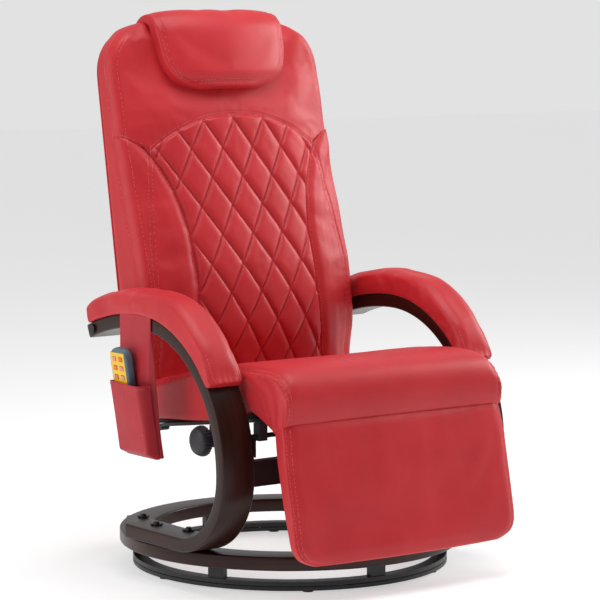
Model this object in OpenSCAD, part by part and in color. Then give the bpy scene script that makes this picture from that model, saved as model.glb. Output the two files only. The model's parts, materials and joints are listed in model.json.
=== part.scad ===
// Massage recliner on a swivel ring base. Millimetres, +Z up, the chair faces -Y,
// +X is the sitter's left. The origin is on the floor, on the swivel axis.

/* [Ring base] */
// Mean radius of the two black race rings
race_r = 288; // [270:1:300]
// Radial width of a race ring
race_w = 24; // [20:1:30]
// Height of the underside of the wooden ring
wood_z = 44; // [40:1:50]
// Thickness of the wooden ring, and of the bentwood arms
wood_t = 26; // [20:1:30]
// Outer radius of the wooden ring
wood_ring_r = 325; // [320:1:335]
// Number of posts between the rings
posts = 6; // [3:1:8]

/* [Arms] */
// Distance from the middle to the inner face of an arm
arm_in = 259; // [258:1:265]
// Width of an arm across the chair
arm_w = 69; // [60:1:80]
// Outside radius of the lower bend of an arm
bend_r = 151; // [140:1:155]
// Outside radius of the front bend of an arm
front_r = 266; // [255:1:270]
// Outside radius of the flatter rear bend of an arm
rear_r = 487; // [470:1:500]
// Angle of the arm's rear tip, from upright
tip_angle = 21.6; // [20:0.1:23]
// Thickness of an arm pad over the middle of the arm
pad_t = 49; // [40:1:55]

/* [Backrest] */
// Backward slope of the backrest at rest
back_slope = 9.5; // [8:0.5:12]
// Half width of the back and seat cushions
cushion_half = 251; // [245:1:252]
// Height of the back cushion along its slope
back_h = 670; // [640:10:690]

/* [Seat] */
// Slope of the seat rails, rising to the front
rail_slope = 8.5; // [6:0.5:10]
// Thickness of the seat pan
pan_t = 10; // [8:1:12]

/* [Footrest] */
// Forward slope of the hanging footrest at rest
foot_slope = 13; // [12:1:18]
// Length of the footrest from its hinge
foot_len = 257; // [230:1:258]

/* [Remote control] */
// Length of the remote control
remote_len = 200; // [180:5:200]
// Width of the remote control
remote_w = 54; // [50:1:60]
// Lean of the pocket and the remote control, inward below the pocket's mouth
pocket_lean = 9; // [0:1:10]

/* [Hidden] */
$fn = 64;

black = "#1c1b1d";
walnut = "#3d2018";
red = "#b3202c";
steel = "#a9adb0";
run = 0.05;                          // radial clearance of pins and screws
gap = 0.3;                           // clearance between faces that slide past each other

// Ring base
pad_h = 3;
race_h = 7;
race_low_z = pad_h;
race_top_z = 11.5;
race_top_h = 8.5;
post_z = race_top_z + race_top_h;
ball_r = 2.6;
ball_track_r = race_r - 7.5;
ball_z = (race_low_z + race_h + race_top_z) / 2;
ball_count = 30;
post_r = race_r + 2;
post_turn = 26.4;
wood_ring_in = wood_ring_r - 60.5;

// Arms: side outline in the Y-Z plane
foot_z = wood_z + wood_t;
foot_top = foot_z + wood_t;
foot_front_y = -95;
foot_rear_y = 140;
bend_cz = foot_z + bend_r;
upright_y = foot_front_y - bend_r;             // front face of the upright
front_cy = upright_y + front_r;
front_cz = bend_cz + 5;
arm_top = front_cz + front_r;
rear_cz = arm_top - rear_r;
arm_out = arm_in + arm_w;
pad_over = 4.5;                                // overhang of a pad beside its arm

// Recline pivot at the rear tip of the arms, and the link under it
pivot_mid_r = rear_r - wood_t / 2;
pivot_angle = 19.5;
pivot_y = front_cy + pivot_mid_r * sin(pivot_angle);
pivot_z = rear_cz + pivot_mid_r * cos(pivot_angle);
link_y = pivot_y + 5;
link_z = pivot_z - 113;

// Support rod and rails
rod_y = upright_y + wood_t / 2;
rod_z = 292;
rod_r = 4.5;
rail_y = -72;                                  // a point on the underside of the rails
rail_z = 293;
rail_t = 6;
rail_w = 18;
rail_x = 238;

// Backrest: local frame on its rear face, z along the slope
back_y = 217;
back_z = 540;
back_low = -190;
cover_t = 4;
board_t = 12;
cushion_back = cover_t + board_t;
board_half = cushion_half - 16;

// Footrest hinge axis
hinge_y = -303;
hinge_z = 322;
hinge_x = 150;
hinge_r = 2.5;
knee_r = 21;

// Knob and clamp
knob_y = -110;
knob_z = 271;
knob_r = 28.5;

// Remote and pocket
pocket_x = -arm_out - 1;
pocket_y = -19;
pocket_w = 101;
pocket_z = 227;
pocket_mouth = 367;
pocket_d = 28;
remote_x = pocket_x - 4.2;                     // inner face of the remote
remote_t = 18;
remote_y = 22;
remote_z = pocket_z + 7;

module at_ring(n, r, turn = 0) {
  for (i = [0:n - 1]) rotate([0, 0, turn + i * 360 / n]) translate([r, 0, 0]) children();
}

module both_sides() {
  children();
  mirror([1, 0, 0]) children();
}

// Extrude a Y-Z outline along X from x0 to x1
module slab_x(x0, x1) {
  translate([x0, 0, 0]) rotate([90, 0, 90]) linear_extrude(x1 - x0) children();
}

module rod_x(x0, x1, y, z, r) {
  translate([x0, y, z]) rotate([0, 90, 0]) cylinder(h = x1 - x0, r = r);
}

// Frames of the tilted assemblies
module in_back() { translate([0, back_y, back_z]) rotate([-back_slope, 0, 0]) children(); }
module in_seat() { translate([0, rail_y, rail_z]) rotate([-rail_slope, 0, 0]) children(); }
module in_foot() { translate([0, hinge_y, hinge_z]) rotate([-foot_slope, 0, 0]) children(); }

// ---- Base -------------------------------------------------------------------
module base_foot_pads() {
  color("#111111") at_ring(posts, race_r) cylinder(h = pad_h, r = 10);
}

module race(z, h) {
  translate([0, 0, z]) difference() {
    cylinder(h = h, r = race_r + race_w / 2, $fn = 128);
    translate([0, 0, -1]) cylinder(h = h + 2, r = race_r - race_w / 2, $fn = 128);
  }
}

module ball_track() {
  rotate_extrude($fn = 128) translate([ball_track_r, ball_z]) circle(r = ball_r + run);
}

module base_ring() {
  color(black) difference() {
    race(race_low_z, race_h);
    ball_track();
  }
}

module bearing_balls() {
  color(steel) at_ring(ball_count, ball_track_r, 6) translate([0, 0, ball_z]) sphere(r = ball_r, $fn = 24);
}

// ---- Swivelling frame ---------------------------------------------------------
module post_screw(extra) {
  translate([0, 0, race_top_z + 3]) cylinder(h = 3 + extra, r = 4.5 + extra);
  translate([0, 0, race_top_z + 5]) cylinder(h = 42 + extra, r = 2.5 + extra);
}

module swivel_ring() {
  color(black) difference() {
    race(race_top_z, race_top_h);
    ball_track();
    at_ring(posts, post_r, post_turn) {
      post_screw(run);
      translate([0, 0, race_top_z - 1]) cylinder(h = 5, r = 4.5 + run);
    }
  }
}

module ring_posts() {
  color(black) at_ring(posts, post_r, post_turn) difference() {
    translate([-7, -16, post_z]) cube([14, 32, wood_z - post_z]);
    post_screw(run);
  }
}

module post_screws() {
  color(steel) at_ring(posts, post_r, post_turn) post_screw(0);
}

// Three bolts hold each arm's foot: [distance from the middle, y]
FOOT_BOLTS = [[264, 108], [288, 28], [272, -54]];

module at_foot_bolts() {
  both_sides() for (p = FOOT_BOLTS) translate([p[0], p[1], foot_top]) children();
}

module wooden_ring() {
  color(walnut) difference() {
    translate([0, 0, wood_z]) cylinder(h = wood_t, r = wood_ring_r, $fn = 128);
    translate([0, 0, wood_z - 1]) cylinder(h = wood_t + 2, r = wood_ring_in, $fn = 128);
    at_ring(posts, post_r, post_turn) post_screw(run);
    at_foot_bolts() translate([0, 0, -45]) cylinder(h = 50, r = 3 + run);
  }
}

module ring_2d(y, z, r) {
  translate([y, z]) difference() {
    circle(r = r, $fn = 128);
    circle(r = r - wood_t, $fn = 128);
  }
}

module arm_outline() {
  translate([foot_front_y, foot_z]) square([foot_rear_y - foot_front_y, wood_t]);
  intersection() {
    ring_2d(foot_front_y, bend_cz, bend_r);
    translate([foot_front_y - bend_r - 1, foot_z - 1]) square([bend_r + 1, bend_r + 1]);
  }
  translate([upright_y, bend_cz]) square([wood_t, front_cz - bend_cz]);
  intersection() {
    ring_2d(front_cy, front_cz, front_r);
    translate([front_cy - front_r - 1, front_cz]) square([front_r + 1, front_r + 1]);
  }
  intersection() {
    ring_2d(front_cy, rear_cz, rear_r);
    translate([front_cy, rear_cz])
      polygon([[0, 0], [0, rear_r * 1.2], [rear_r * 1.2 * tan(tip_angle), rear_r * 1.2]]);
  }
}

// The right arm lies on the -X side
module arm_frame() {
  difference() {
    slab_x(-arm_out, -arm_in) arm_outline();
    // the foot's outer rear corner is cut off
    translate([0, 0, foot_z - 1]) linear_extrude(wood_t + 2)
      polygon([[-arm_out - 1, foot_rear_y - 66], [-arm_out + 48, foot_rear_y], [-arm_out + 48, 150],
        [-arm_out - 1, 150]]);
    mirror([1, 0, 0]) for (p = FOOT_BOLTS) translate([p[0], p[1], foot_z - 1]) cylinder(h = 40, r = 3 + run);
    rod_x(-arm_in - 12, -arm_in + 1, rod_y, rod_z, rod_r + run);
    rod_x(-arm_out - 1, -arm_in + 1, pivot_y, pivot_z, 4 + run);
    at_crossbar_screws() rod_x(-arm_in - 20, -arm_in + 1, 0, 0, 2 + run);
  }
}

module arm_frame_right() {
  color(walnut) difference() {
    arm_frame();
    at_bracket_screws() rod_x(-arm_in - 18, -arm_in + 1, 0, 0, 2 + run);
  }
}

module arm_frame_left() { color(walnut) mirror([1, 0, 0]) arm_frame(); }

washer_t = 3;

module star_washers() {
  color(black) at_foot_bolts() difference() {
    union() {
      cylinder(h = washer_t, r = 9);
      for (i = [0:6]) rotate([0, 0, i * 360 / 7]) translate([9, 0, 0])
        cylinder(h = washer_t, r = 2.8, $fn = 24);
    }
    translate([0, 0, -1]) cylinder(h = washer_t + 2, r = 3 + run);
  }
}

module foot_bolts() {
  color(black) at_foot_bolts() {
    translate([0, 0, -44]) cylinder(h = 44 + washer_t, r = 3);
    translate([0, 0, washer_t]) cylinder(h = 4, r1 = 7, r2 = 4.5, $fn = 32);
  }
}

// Pad thickness along the front bend and along the rear bend
PAD_FRONT_ANGLE = 144.6;
PAD_FULL_ANGLE = 102;
function pad_grown(a) = min(1, (PAD_FRONT_ANGLE - a) / (PAD_FRONT_ANGLE - PAD_FULL_ANGLE));
function pad_front(a) = 18 + (pad_t - 18) * sin(90 * pad_grown(a));
function pad_rear(a) = pad_t - 4 * pow(a / tip_angle, 2);

module pad_outline() {
  front = [for (i = [0:12]) let (a = PAD_FRONT_ANGLE - i * (PAD_FRONT_ANGLE - 90) / 12)
    [front_cy + (front_r + pad_front(a)) * cos(a), front_cz + (front_r + pad_front(a)) * sin(a)]];
  rear = [for (i = [1:6]) let (a = i * (tip_angle - 1) / 6)
    [front_cy + (rear_r + pad_rear(a)) * sin(a), rear_cz + (rear_r + pad_rear(a)) * cos(a)]];
  under = [[front_cy + rear_r * sin(tip_angle - 1), rear_cz + rear_r * cos(tip_angle - 1)],
    [front_cy, front_cz],
    [front_cy + front_r * cos(PAD_FRONT_ANGLE), front_cz + front_r * sin(PAD_FRONT_ANGLE)]];
  difference() {
    polygon(concat(front, rear, under));
    intersection() {
      translate([front_cy, front_cz]) circle(r = front_r, $fn = 128);
      translate([front_cy - front_r - 5, front_cz - 5]) square([front_r + 5, front_r + 10]);
    }
    intersection() {
      translate([front_cy, rear_cz]) circle(r = rear_r, $fn = 128);
      translate([front_cy - 0.01, 0]) square([rear_r, rear_r + 50]);
    }
  }
}

module arm_pad() { slab_x(-arm_out - pad_over, -arm_in + pad_over) pad_outline(); }
module arm_pad_right() { color(red) arm_pad(); }
module arm_pad_left() { color(red) mirror([1, 0, 0]) arm_pad(); }

bar_z = 203;
bar_h = 46;
flange_t = 4;

module at_crossbar_screws() {
  for (z = [bar_z + 14, bar_z + bar_h - 14]) translate([0, rod_y + 4, z]) children();
}

module front_crossbar() {
  color(black) difference() {
    union() {
      translate([-arm_in + flange_t, rod_y - 11, bar_z]) cube([2 * (arm_in - flange_t), 6, bar_h]);
      for (s = [-1, 1]) translate([s * (arm_in - flange_t / 2) - flange_t / 2, rod_y - 11, bar_z])
        cube([flange_t, 22, bar_h]);
      for (z = [bar_z, bar_z + bar_h - 6]) translate([-arm_in + flange_t, rod_y - 5, z])
        cube([2 * (arm_in - flange_t), 16, 6]);
    }
    at_crossbar_screws() for (s = [-1, 1]) translate([s * arm_in, 0, 0]) rod_x(-6, 6, 0, 0, 2 + run);
  }
}

module screw_x(x0, length) {
  rod_x(x0, x0 + length, 0, 0, 2);
  rod_x(x0 + length, x0 + length + 2.5, 0, 0, 4);
}

// Screws through the end flanges into the arms, driven from the inside
module crossbar_screws() {
  color(steel) both_sides() at_crossbar_screws() screw_x(-arm_in - 18, 18 + flange_t);
}

module seat_support_rod() {
  color(black) rod_x(-arm_in - 11, arm_in + 11, rod_y, rod_z, rod_r);
}

// Plastic blocks on the rod that the seat rails slide on
module rod_glides() {
  color("#202022") both_sides() difference() {
    translate([-rail_x - rail_w / 2, rod_y - 9, rod_z - 8]) cube([rail_w, 18, 42]);
    rod_x(-arm_in, 0, rod_y, rod_z, rod_r + run);
    in_seat() translate([-arm_in, -220, -gap]) cube([100, 160, 60]);
  }
}

bracket_t = 4;
BRACKET_Z = [knob_z - 9, knob_z + 9];

module at_bracket_screws() {
  for (z = BRACKET_Z) translate([0, rod_y, z]) children();
}

module lock_bracket() {
  color(black) difference() {
    union() {
      translate([-arm_in, rod_y - 10, knob_z - 15]) cube([bracket_t, 24, 36]);
      translate([-arm_in, rod_y + 10, knob_z - 12]) cube([bracket_t, knob_y - rod_y - 10, 24]);
      rod_x(-arm_in, -arm_in + bracket_t, knob_y, knob_z, 14);
    }
    at_bracket_screws() rod_x(-arm_in - 1, -arm_in + bracket_t + 1, 0, 0, 2 + run);
    rod_x(-arm_in - 1, -arm_in + bracket_t + 1, knob_y, knob_z, 4 + run);
    rod_x(-arm_in - 1, -arm_in + bracket_t + 1, rod_y, rod_z, rod_r + 0.5);
  }
}

module lock_bracket_screws() {
  color(steel) at_bracket_screws() screw_x(-arm_in - 16, 16 + bracket_t);
}

module clamp_bolt() {
  color(steel) rod_x(-294, -232, knob_y, knob_z, 4);
}

// Block under the rail that the knob's bolt tightens
module clamp_block() {
  color(black) difference() {
    translate([-arm_in + bracket_t + 1, knob_y - 14, knob_z - 12]) cube([24, 28, 60]);
    rod_x(-arm_in, -200, knob_y, knob_z, 4 + run);
    in_seat() translate([-arm_in, -150, -gap]) cube([100, 250, 60]);
  }
}

bracket_x = 243;                              // outer face of the back brackets

module pivot_bolts() {
  color(black) both_sides() {
    rod_x(-arm_out, -bracket_x + 8, pivot_y, pivot_z, 4);
    rod_x(-arm_out - 4, -arm_out, pivot_y, pivot_z, 9);
  }
}

// Washers between the arm tips and the backrest
module pivot_spacers() {
  color(steel) both_sides() difference() {
    rod_x(-arm_in, -bracket_x - gap, pivot_y, pivot_z, 9);
    rod_x(-arm_in - 1, -bracket_x + 1, pivot_y, pivot_z, 4 + run);
  }
}

wall = 2;
panel_top = rear_cz + sqrt(pow(rear_r, 2) - pow(pocket_y + pocket_w - front_cy, 2)) - 2;

pocket_h = pocket_mouth - pocket_z;

// A point of the leaning pocket's side view, from its mouth: outward is -x
function lean_at(x, z) = [pocket_x + x * cos(pocket_lean) - z * sin(pocket_lean),
  pocket_mouth + x * sin(pocket_lean) + z * cos(pocket_lean)];

// Where the hanging strap folds into the leaning pouch
POCKET_FOLD = lean_at(-wall, wall * tan(pocket_lean / 2));

module pocket_slice(y, w) { translate([0, y + w, 0]) rotate([90, 0, 0]) linear_extrude(w) children(); }

// Below its mouth the pocket leans in, and the remote control leans with it
module in_pocket() {
  translate([pocket_x, 0, pocket_mouth]) rotate([0, -pocket_lean, 0])
    translate([-pocket_x, 0, -pocket_mouth]) children();
}

// Fabric pocket that hangs from the outside of the right arm
module remote_pocket() {
  color("#8f1a24") {
    pocket_slice(pocket_y, pocket_w) polygon([[pocket_x - wall, panel_top], [pocket_x, panel_top],
      [pocket_x, pocket_mouth], lean_at(0, -pocket_h), lean_at(-pocket_d, -pocket_h), lean_at(-pocket_d, 0),
      lean_at(wall - pocket_d, 0), lean_at(wall - pocket_d, wall + 3 - pocket_h),
      lean_at(-wall, wall + 3 - pocket_h), POCKET_FOLD]);
    for (y = [pocket_y, pocket_y + pocket_w - wall])
      pocket_slice(y, wall) polygon([[pocket_x, pocket_mouth], lean_at(0, -pocket_h),
        lean_at(-pocket_d, -pocket_h), lean_at(-pocket_d, 0), POCKET_FOLD]);
  }
}

// ---- Backrest -----------------------------------------------------------------
back_top = back_low + back_h;
// Front side edge of the back cushion, from the top down: [depth, height]
BACK_FRONT = [[-34, back_top], [-40, 400], [-49, 260], [-75, 90], [-91, -26], [-84, -110], [-70, -165],
  [-55, back_low]];
crown = 36;
crown_half = 190;

module back_front_outline(r, half) {
  polygon(concat([[-half, back_low], [half, back_low]],
    [for (i = [0:8]) [half - r + r * cos(i * 11.25), back_top - r + r * sin(i * 11.25)]],
    [for (i = [0:8]) [-half + r - r * sin(i * 11.25), back_top - r + r * cos(i * 11.25)]]));
}

module back_region(half, r, y0, y1) {
  translate([0, y1, 0]) rotate([90, 0, 0]) linear_extrude(y1 - y0) back_front_outline(r, half);
}

module back_shape() {
  intersection() {
    slab_x(-cushion_half, cushion_half) polygon(concat(BACK_FRONT, [[0, back_low], [0, back_top]]));
    back_region(cushion_half, 95, -140, 0);
  }
  // proud middle, tapering to the sides
  intersection() {
    slab_x(-cushion_half, cushion_half)
      polygon(concat([for (p = BACK_FRONT) [p[0] - crown * (p[1] > 300 ? 0.5 : 1), p[1]]],
        [[-20, back_low], [-20, back_top]]));
    translate([0, 0, back_low]) linear_extrude(back_h) polygon([[-cushion_half + 12, -20],
      [-cushion_half + 12, -50], [-crown_half, -120], [-60, -135], [60, -135], [crown_half, -120],
      [cushion_half - 12, -50], [cushion_half - 12, -20]]);
    back_region(cushion_half - 12, 90, -140, -10);
  }
}

motor_r = 28;
motor_h = 24;
// Motors in the backrest: [x, height along the slope]
BACK_MOTORS = [[-90, -60], [90, -60], [-90, 190], [90, 190]];

// A vibration motor, or with extra the room that it needs
module motor(extra) {
  cylinder(h = motor_h + 2 * extra, r = motor_r + extra);
  translate([0, 0, motor_h]) cylinder(h = 3 + 2 * extra, r = 7 + extra);
}

module back_motor_set(extra) {
  for (p = BACK_MOTORS) translate([p[0], -cushion_back + extra, p[1]]) rotate([90, 0, 0]) motor(extra);
}

module back_board() {
  color("#b98f5c") in_back() back_region(board_half, 80, -cushion_back, -cover_t);
}

module back_cover() {
  color("#8f1a24") in_back() back_region(cushion_half, 95, -cover_t, 0);
}

heater_z = 45;
heater_h = 110;

// Room inside the cushion for the parts fixed to the board
module back_cavities() {
  back_region(board_half, 80, -cushion_back, 1);
  back_motor_set(gap);
  translate([-130, -cushion_back - 2.5, heater_z]) cube([260, 4, heater_h]);
  for (s = [-1, 1]) translate([s * (bracket_x - 4) - 6, -46, back_low - 1]) cube([12, 47, 160]);
  for (s = [-1, 1]) translate([s * (bracket_x + 6), 0, 0]) rotate([back_slope, 0, 0])
    translate([0, -back_y, -back_z]) rod_x(-12, 12, pivot_y, pivot_z, 13);
}

module back_cushion() {
  color(red) in_back() difference() {
    back_shape();
    translate([-cushion_half - 1, -cover_t, back_low - 1]) cube([2 * cushion_half + 2, 20, back_h + 2]);
    back_cavities();
  }
}

// Pillow draped over the top edge, in front and behind
module head_pillow() {
  color(red) difference() {
    in_back() intersection() {
      slab_x(-150, 150) polygon([[-40, 508], [-20, 514], [4, 508], [16, 490], [16, 400], [0, 400],
        [0, back_top], [-30, back_top], [-40, 350], [-84, 352], [-96, 380], [-90, 440], [-70, 485]]);
      translate([0, 30, 0]) rotate([90, 0, 0]) linear_extrude(140) polygon(concat([[150, 520], [-150, 520]],
        [for (i = [0:8]) [-150 + 40 - 40 * cos(i * 11.25), 392 - 40 * sin(i * 11.25)]],
        [for (i = [0:8]) [110 + 40 * sin(i * 11.25), 392 - 40 * cos(i * 11.25)]]));
    }
    in_back() back_shape();
  }
}

// Steel side plates: pivot above, link pin below
module back_brackets() {
  color(black) both_sides() difference() {
    union() {
      in_back() translate([-bracket_x, -42, back_low]) cube([4, 42 - cover_t, 152]);
      in_back() translate([-bracket_x, -16, back_low - 16]) cube([4, 24, 16]);
      rod_x(-bracket_x, -bracket_x + 4, link_y, link_z, 11);
      in_back() translate([-bracket_x, -cushion_back, back_low + 6])
        cube([bracket_x - board_half, board_t, 130]);
    }
    rod_x(-bracket_x - 1, -bracket_x + 5, pivot_y, pivot_z, 4 + run);
    rod_x(-bracket_x - 1, -bracket_x + 5, link_y, link_z, 4 + run);
  }
}

module back_link_pins() {
  color(steel) both_sides() {
    rod_x(-bracket_x - 4, -bracket_x, link_y, link_z, 7);
    rod_x(-bracket_x, -bracket_x + 18, link_y, link_z, 4);
  }
}

module back_motors() { color("#3a3d40") in_back() back_motor_set(0); }

module lumbar_heater() {
  color("#5a4a46") in_back() translate([-128, -cushion_back - 2, heater_z + 2]) cube([256, 2, heater_h - 4]);
}

// ---- Seat ---------------------------------------------------------------------
pan_y0 = -150;                                // front end of the pan, in the seat frame
pan_y1 = 168;
pan_half = 236;

module seat_pan() {
  color("#b98f5c") in_seat() difference() {
    translate([-pan_half, pan_y0, rail_t]) cube([2 * pan_half, pan_y1 - pan_y0, pan_t]);
    translate([inlet_x, inlet_y, 0]) cylinder(h = 20, r = 7 + run);
  }
}

// Side outline of the seat cushion, in the chair's Y-Z plane
module seat_outline() {
  difference() {
    polygon([[92, 283], [112, 310], [112, 346], [60, 362], [-38, 394], [-140, 409], [-237, 415], [-280, 412],
      [-307, 404], [-322, 388], [-328, 370], [-326, 352], [-290, 346], [-262, 334], [-211, 336], [-180, 318],
      [-146, 305]]);
    translate([hinge_y, hinge_z]) circle(r = knee_r + 1.5, $fn = 64);
  }
}

SEAT_MOTORS = [[-100, -20], [100, -20]];

module seat_motor_set(extra) {
  for (p = SEAT_MOTORS) translate([p[0], p[1], rail_t + pan_t - extra]) motor(extra);
}

box_w = 150;
box_d = 80;
box_h = 32;
box_y = 60;

module seat_cushion() {
  color(red) difference() {
    slab_x(-cushion_half, cushion_half) seat_outline();
    in_seat() {
      translate([-pan_half - gap, pan_y0 - gap, -30]) cube([2 * (pan_half + gap), 340, rail_t + pan_t + 30]);
      seat_motor_set(gap);
      for (s = [-1, 1]) {
        translate([s * rail_x - rail_w / 2 - gap, -190, -30])
          cube([rail_w + 2 * gap, 345, 30 + rail_t + gap]);
        translate([s * (pan_half - 2) - 3, 105, 10]) cube([6, 100, 80]);
      }
      translate([-box_w / 2 - 1, box_y - 1, 10]) cube([box_w + 2, box_d + 2, box_h + rail_t + pan_t - 9]);
    }
    for (s = [-1, 1]) translate([s * hinge_x - 14, hinge_y, hinge_z - 12]) cube([28, 130, 22]);
  }
}

eye_r = 6.5;

module seat_rails() {
  color(black) both_sides() in_seat() {
    translate([-rail_x - rail_w / 2, -185, 0]) cube([rail_w, 185 + 146, rail_t]);
    translate([0, 150, rail_t - eye_r - 0.1]) rod_x(-rail_x - rail_w / 2, -rail_x + rail_w / 2, 0, 0, eye_r);
  }
}

slot_half = 4.6;

// Plates on the rear of the pan: the back's link pins run in their slots
module seat_link_brackets() {
  color(black) both_sides() difference() {
    union() {
      in_seat() translate([-pan_half, 110, rail_t + pan_t]) cube([4, 58, 16]);
      slab_x(-pan_half, -pan_half + 4)
        polygon([[86, 289], [86, 304], [link_y - 12, link_z + 5], [link_y + 8, link_z + 5],
          [link_y + 8, link_z - 10], [96, 285]]);
      rod_x(-pan_half, -pan_half + 4, link_y, link_z, 10.5);
    }
    translate([-pan_half - 1, link_y - slot_half, link_z - 4]) cube([6, 2 * slot_half, 8]);
    for (z = [-4, 4]) rod_x(-pan_half - 1, -pan_half + 5, link_y, link_z + z, slot_half);
    in_seat() translate([-pan_half - 1, 60, -40]) cube([6, pan_y1 - 60, 40 + rail_t + pan_t]);
  }
}

module seat_motors() { color("#3a3d40") in_seat() seat_motor_set(0); }

module control_box() {
  color("#2b2d30") in_seat() translate([-box_w / 2, box_y, rail_t + pan_t]) difference() {
    cube([box_w, box_d, box_h]);
    translate([3, 3, 3]) cube([box_w - 6, box_d - 6, box_h - 6]);
  }
}

inlet_x = 40;
inlet_y = 90;
inlet_bore = 2.8;
inlet_depth = 12;

// Low-voltage power socket that faces down under the seat pan
module power_inlet() {
  color(black) in_seat() translate([inlet_x, inlet_y, 0]) difference() {
    union() {
      translate([0, 0, rail_t - 6]) cylinder(h = 6, r = 10);
      cylinder(h = rail_t + pan_t, r = 7);
    }
    translate([0, 0, -1]) cylinder(h = inlet_depth + 1, r = inlet_bore);
  }
}

strap_t = 4;

// Straps that carry the footrest hinge in front of the pan
module hinge_straps() {
  color(black) for (s = [-1, 1]) difference() {
    union() {
      translate([s * hinge_x - strap_t / 2, 0, 0]) slab_x(0, strap_t)
        polygon([[hinge_y, hinge_z - 7], [hinge_y, hinge_z + 7], [-205, 320], [-150, 311], [-150, 303],
          [-205, 305]]);
      rod_x(s * hinge_x - strap_t / 2, s * hinge_x + strap_t / 2, hinge_y, hinge_z, 8);
    }
    rod_x(s * hinge_x - 5, s * hinge_x + 5, hinge_y, hinge_z, hinge_r + run);
    in_seat() translate([s * hinge_x - 10, pan_y0, rail_t]) cube([20, 200, 40]);
  }
}

module hinge_pins() {
  color(steel) for (s = [-1, 1]) rod_x(s * hinge_x - 12, s * hinge_x + 12, hinge_y, hinge_z, hinge_r);
}

// ---- Footrest -----------------------------------------------------------------
foot_half = 253;
foot_low_t = 11;                              // half thickness at the bottom

module footrest_outline() {
  circle(r = knee_r, $fn = 64);
  polygon([[knee_r, 0], [knee_r - 1, -60], [16, -150], [foot_low_t, -foot_len + 6],
    [foot_low_t - 5, -foot_len], [-foot_low_t + 5, -foot_len], [-foot_low_t - 3, -foot_len + 8],
    [-16, -150], [-knee_r + 1, -60], [-knee_r, 0]]);
}

board_z0 = -238;
board_z1 = -40;

module footrest_board() {
  color("#b98f5c") in_foot() translate([-234, 1, board_z0]) cube([468, 8, board_z1 - board_z0]);
}

foot_motor_z = -110;

module footrest_cushion() {
  color(red) difference() {
    in_foot() {
      difference() {
        slab_x(-foot_half, foot_half) footrest_outline();
        translate([-234, 1, board_z0]) cube([468, 8, board_z1 - board_z0]);
        translate([0, 1, foot_motor_z]) rotate([90, 0, 0]) cylinder(h = 13 + gap, r = 25 + gap);
        for (s = [-1, 1]) translate([s * hinge_x - 14, -9.5, board_z1 - 40]) cube([28, 60, 120]);
      }
    }
  }
}

module footrest_motor() {
  color("#3a3d40") in_foot() translate([0, 1, foot_motor_z]) rotate([90, 0, 0]) cylinder(h = 13, r = 25);
}

leaf_t = 3;

// Two leaves on each side of a strap, screwed to the board's front face
module footrest_hinge_leaves() {
  color(black) for (s = [-1, 1], d = [-1, 1]) {
    x = s * hinge_x + d * 6;
    difference() {
      union() {
        rod_x(x - leaf_t / 2, x + leaf_t / 2, hinge_y, hinge_z, 8);
        in_foot() translate([x - leaf_t / 2, -7, board_z1 - 30]) cube([leaf_t, 8, 30]);
        in_foot() translate([x - leaf_t / 2, -7, board_z1]) cube([leaf_t, 14, -board_z1]);
      }
      rod_x(x - 3, x + 3, hinge_y, hinge_z, hinge_r + run);
    }
  }
}

// ---- Recline knob ---------------------------------------------------------------
module recline_knob() {
  color("#2a2a2e") translate([0, knob_y, knob_z]) difference() {
    union() {
      rod_x(-292, -276, 0, 0, knob_r - 0.8);
      translate([-297, 0, 0]) rotate([0, 90, 0]) cylinder(h = 5, r1 = knob_r - 7, r2 = knob_r - 0.8);
      rod_x(-276, -272, 0, 0, knob_r - 4);
      rod_x(-272, -arm_in - gap, 0, 0, 12);
      for (i = [0:23]) rotate([i * 15, 0, 0]) translate([-291, -1.6, knob_r - 2.4]) cube([14, 3.2, 2.4]);
    }
    rod_x(-294.5, -arm_in + 1, 0, 0, 4 + run);
  }
}

// ---- Remote control -------------------------------------------------------------
face_low = remote_len - 66;
face_h = 58;
key_w = 10;
key_h = 8;
KEYS = [[12, 42], [32, 42], [12, 25], [32, 25], [12, 8], [32, 8]];

module in_remote() { in_pocket() translate([remote_x, remote_y, remote_z]) children(); }

module key_room(i, extra, x0, x1) {
  translate([x0, KEYS[i][0] - extra, face_low + KEYS[i][1] - extra])
    cube([x1 - x0, key_w + 2 * extra, key_h + 2 * extra]);
}

module remote_housing() {
  color("#5f7382") in_remote() difference() {
    translate([-remote_t, 0, 0]) rotate([90, 0, 90]) linear_extrude(remote_t)
      union() {
        translate([8, 0]) square([remote_w - 16, remote_len]);
        translate([0, 8]) square([remote_w, remote_len - 16]);
        for (y = [8, remote_w - 8], z = [8, remote_len - 8]) translate([y, z]) circle(r = 8);
      }
    translate([-remote_t + 2.5, 3, 8]) cube([remote_t - 5, remote_w - 6, remote_len - 16]);
    translate([-remote_t - 1, 5, face_low]) cube([2.5, remote_w - 10, face_h]);
    for (i = [0:5]) key_room(i, 0.5, -remote_t - 1, -remote_t + 4);
  }
}

module remote_face() {
  color("#f5c518") in_remote() difference() {
    translate([-remote_t, 5 + run, face_low + run]) cube([1.5, remote_w - 10 - 2 * run, face_h - 2 * run]);
    for (i = [0:5]) key_room(i, 0.5, -remote_t - 1, -remote_t + 4);
  }
}

module key(i, c) {
  color(c) in_remote() key_room(i, 0, -remote_t - 1.6, -remote_t + 3.4);
}

module key_power() { key(0, "#d9541e"); }
module key_heat() { key(1, "#d9541e"); }
module key_mode() { key(2, "#e07b1f"); }
module key_speed() { key(3, "#e07b1f"); }
module key_back() { key(4, "#e07b1f"); }
module key_seat() { key(5, "#e07b1f"); }

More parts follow.
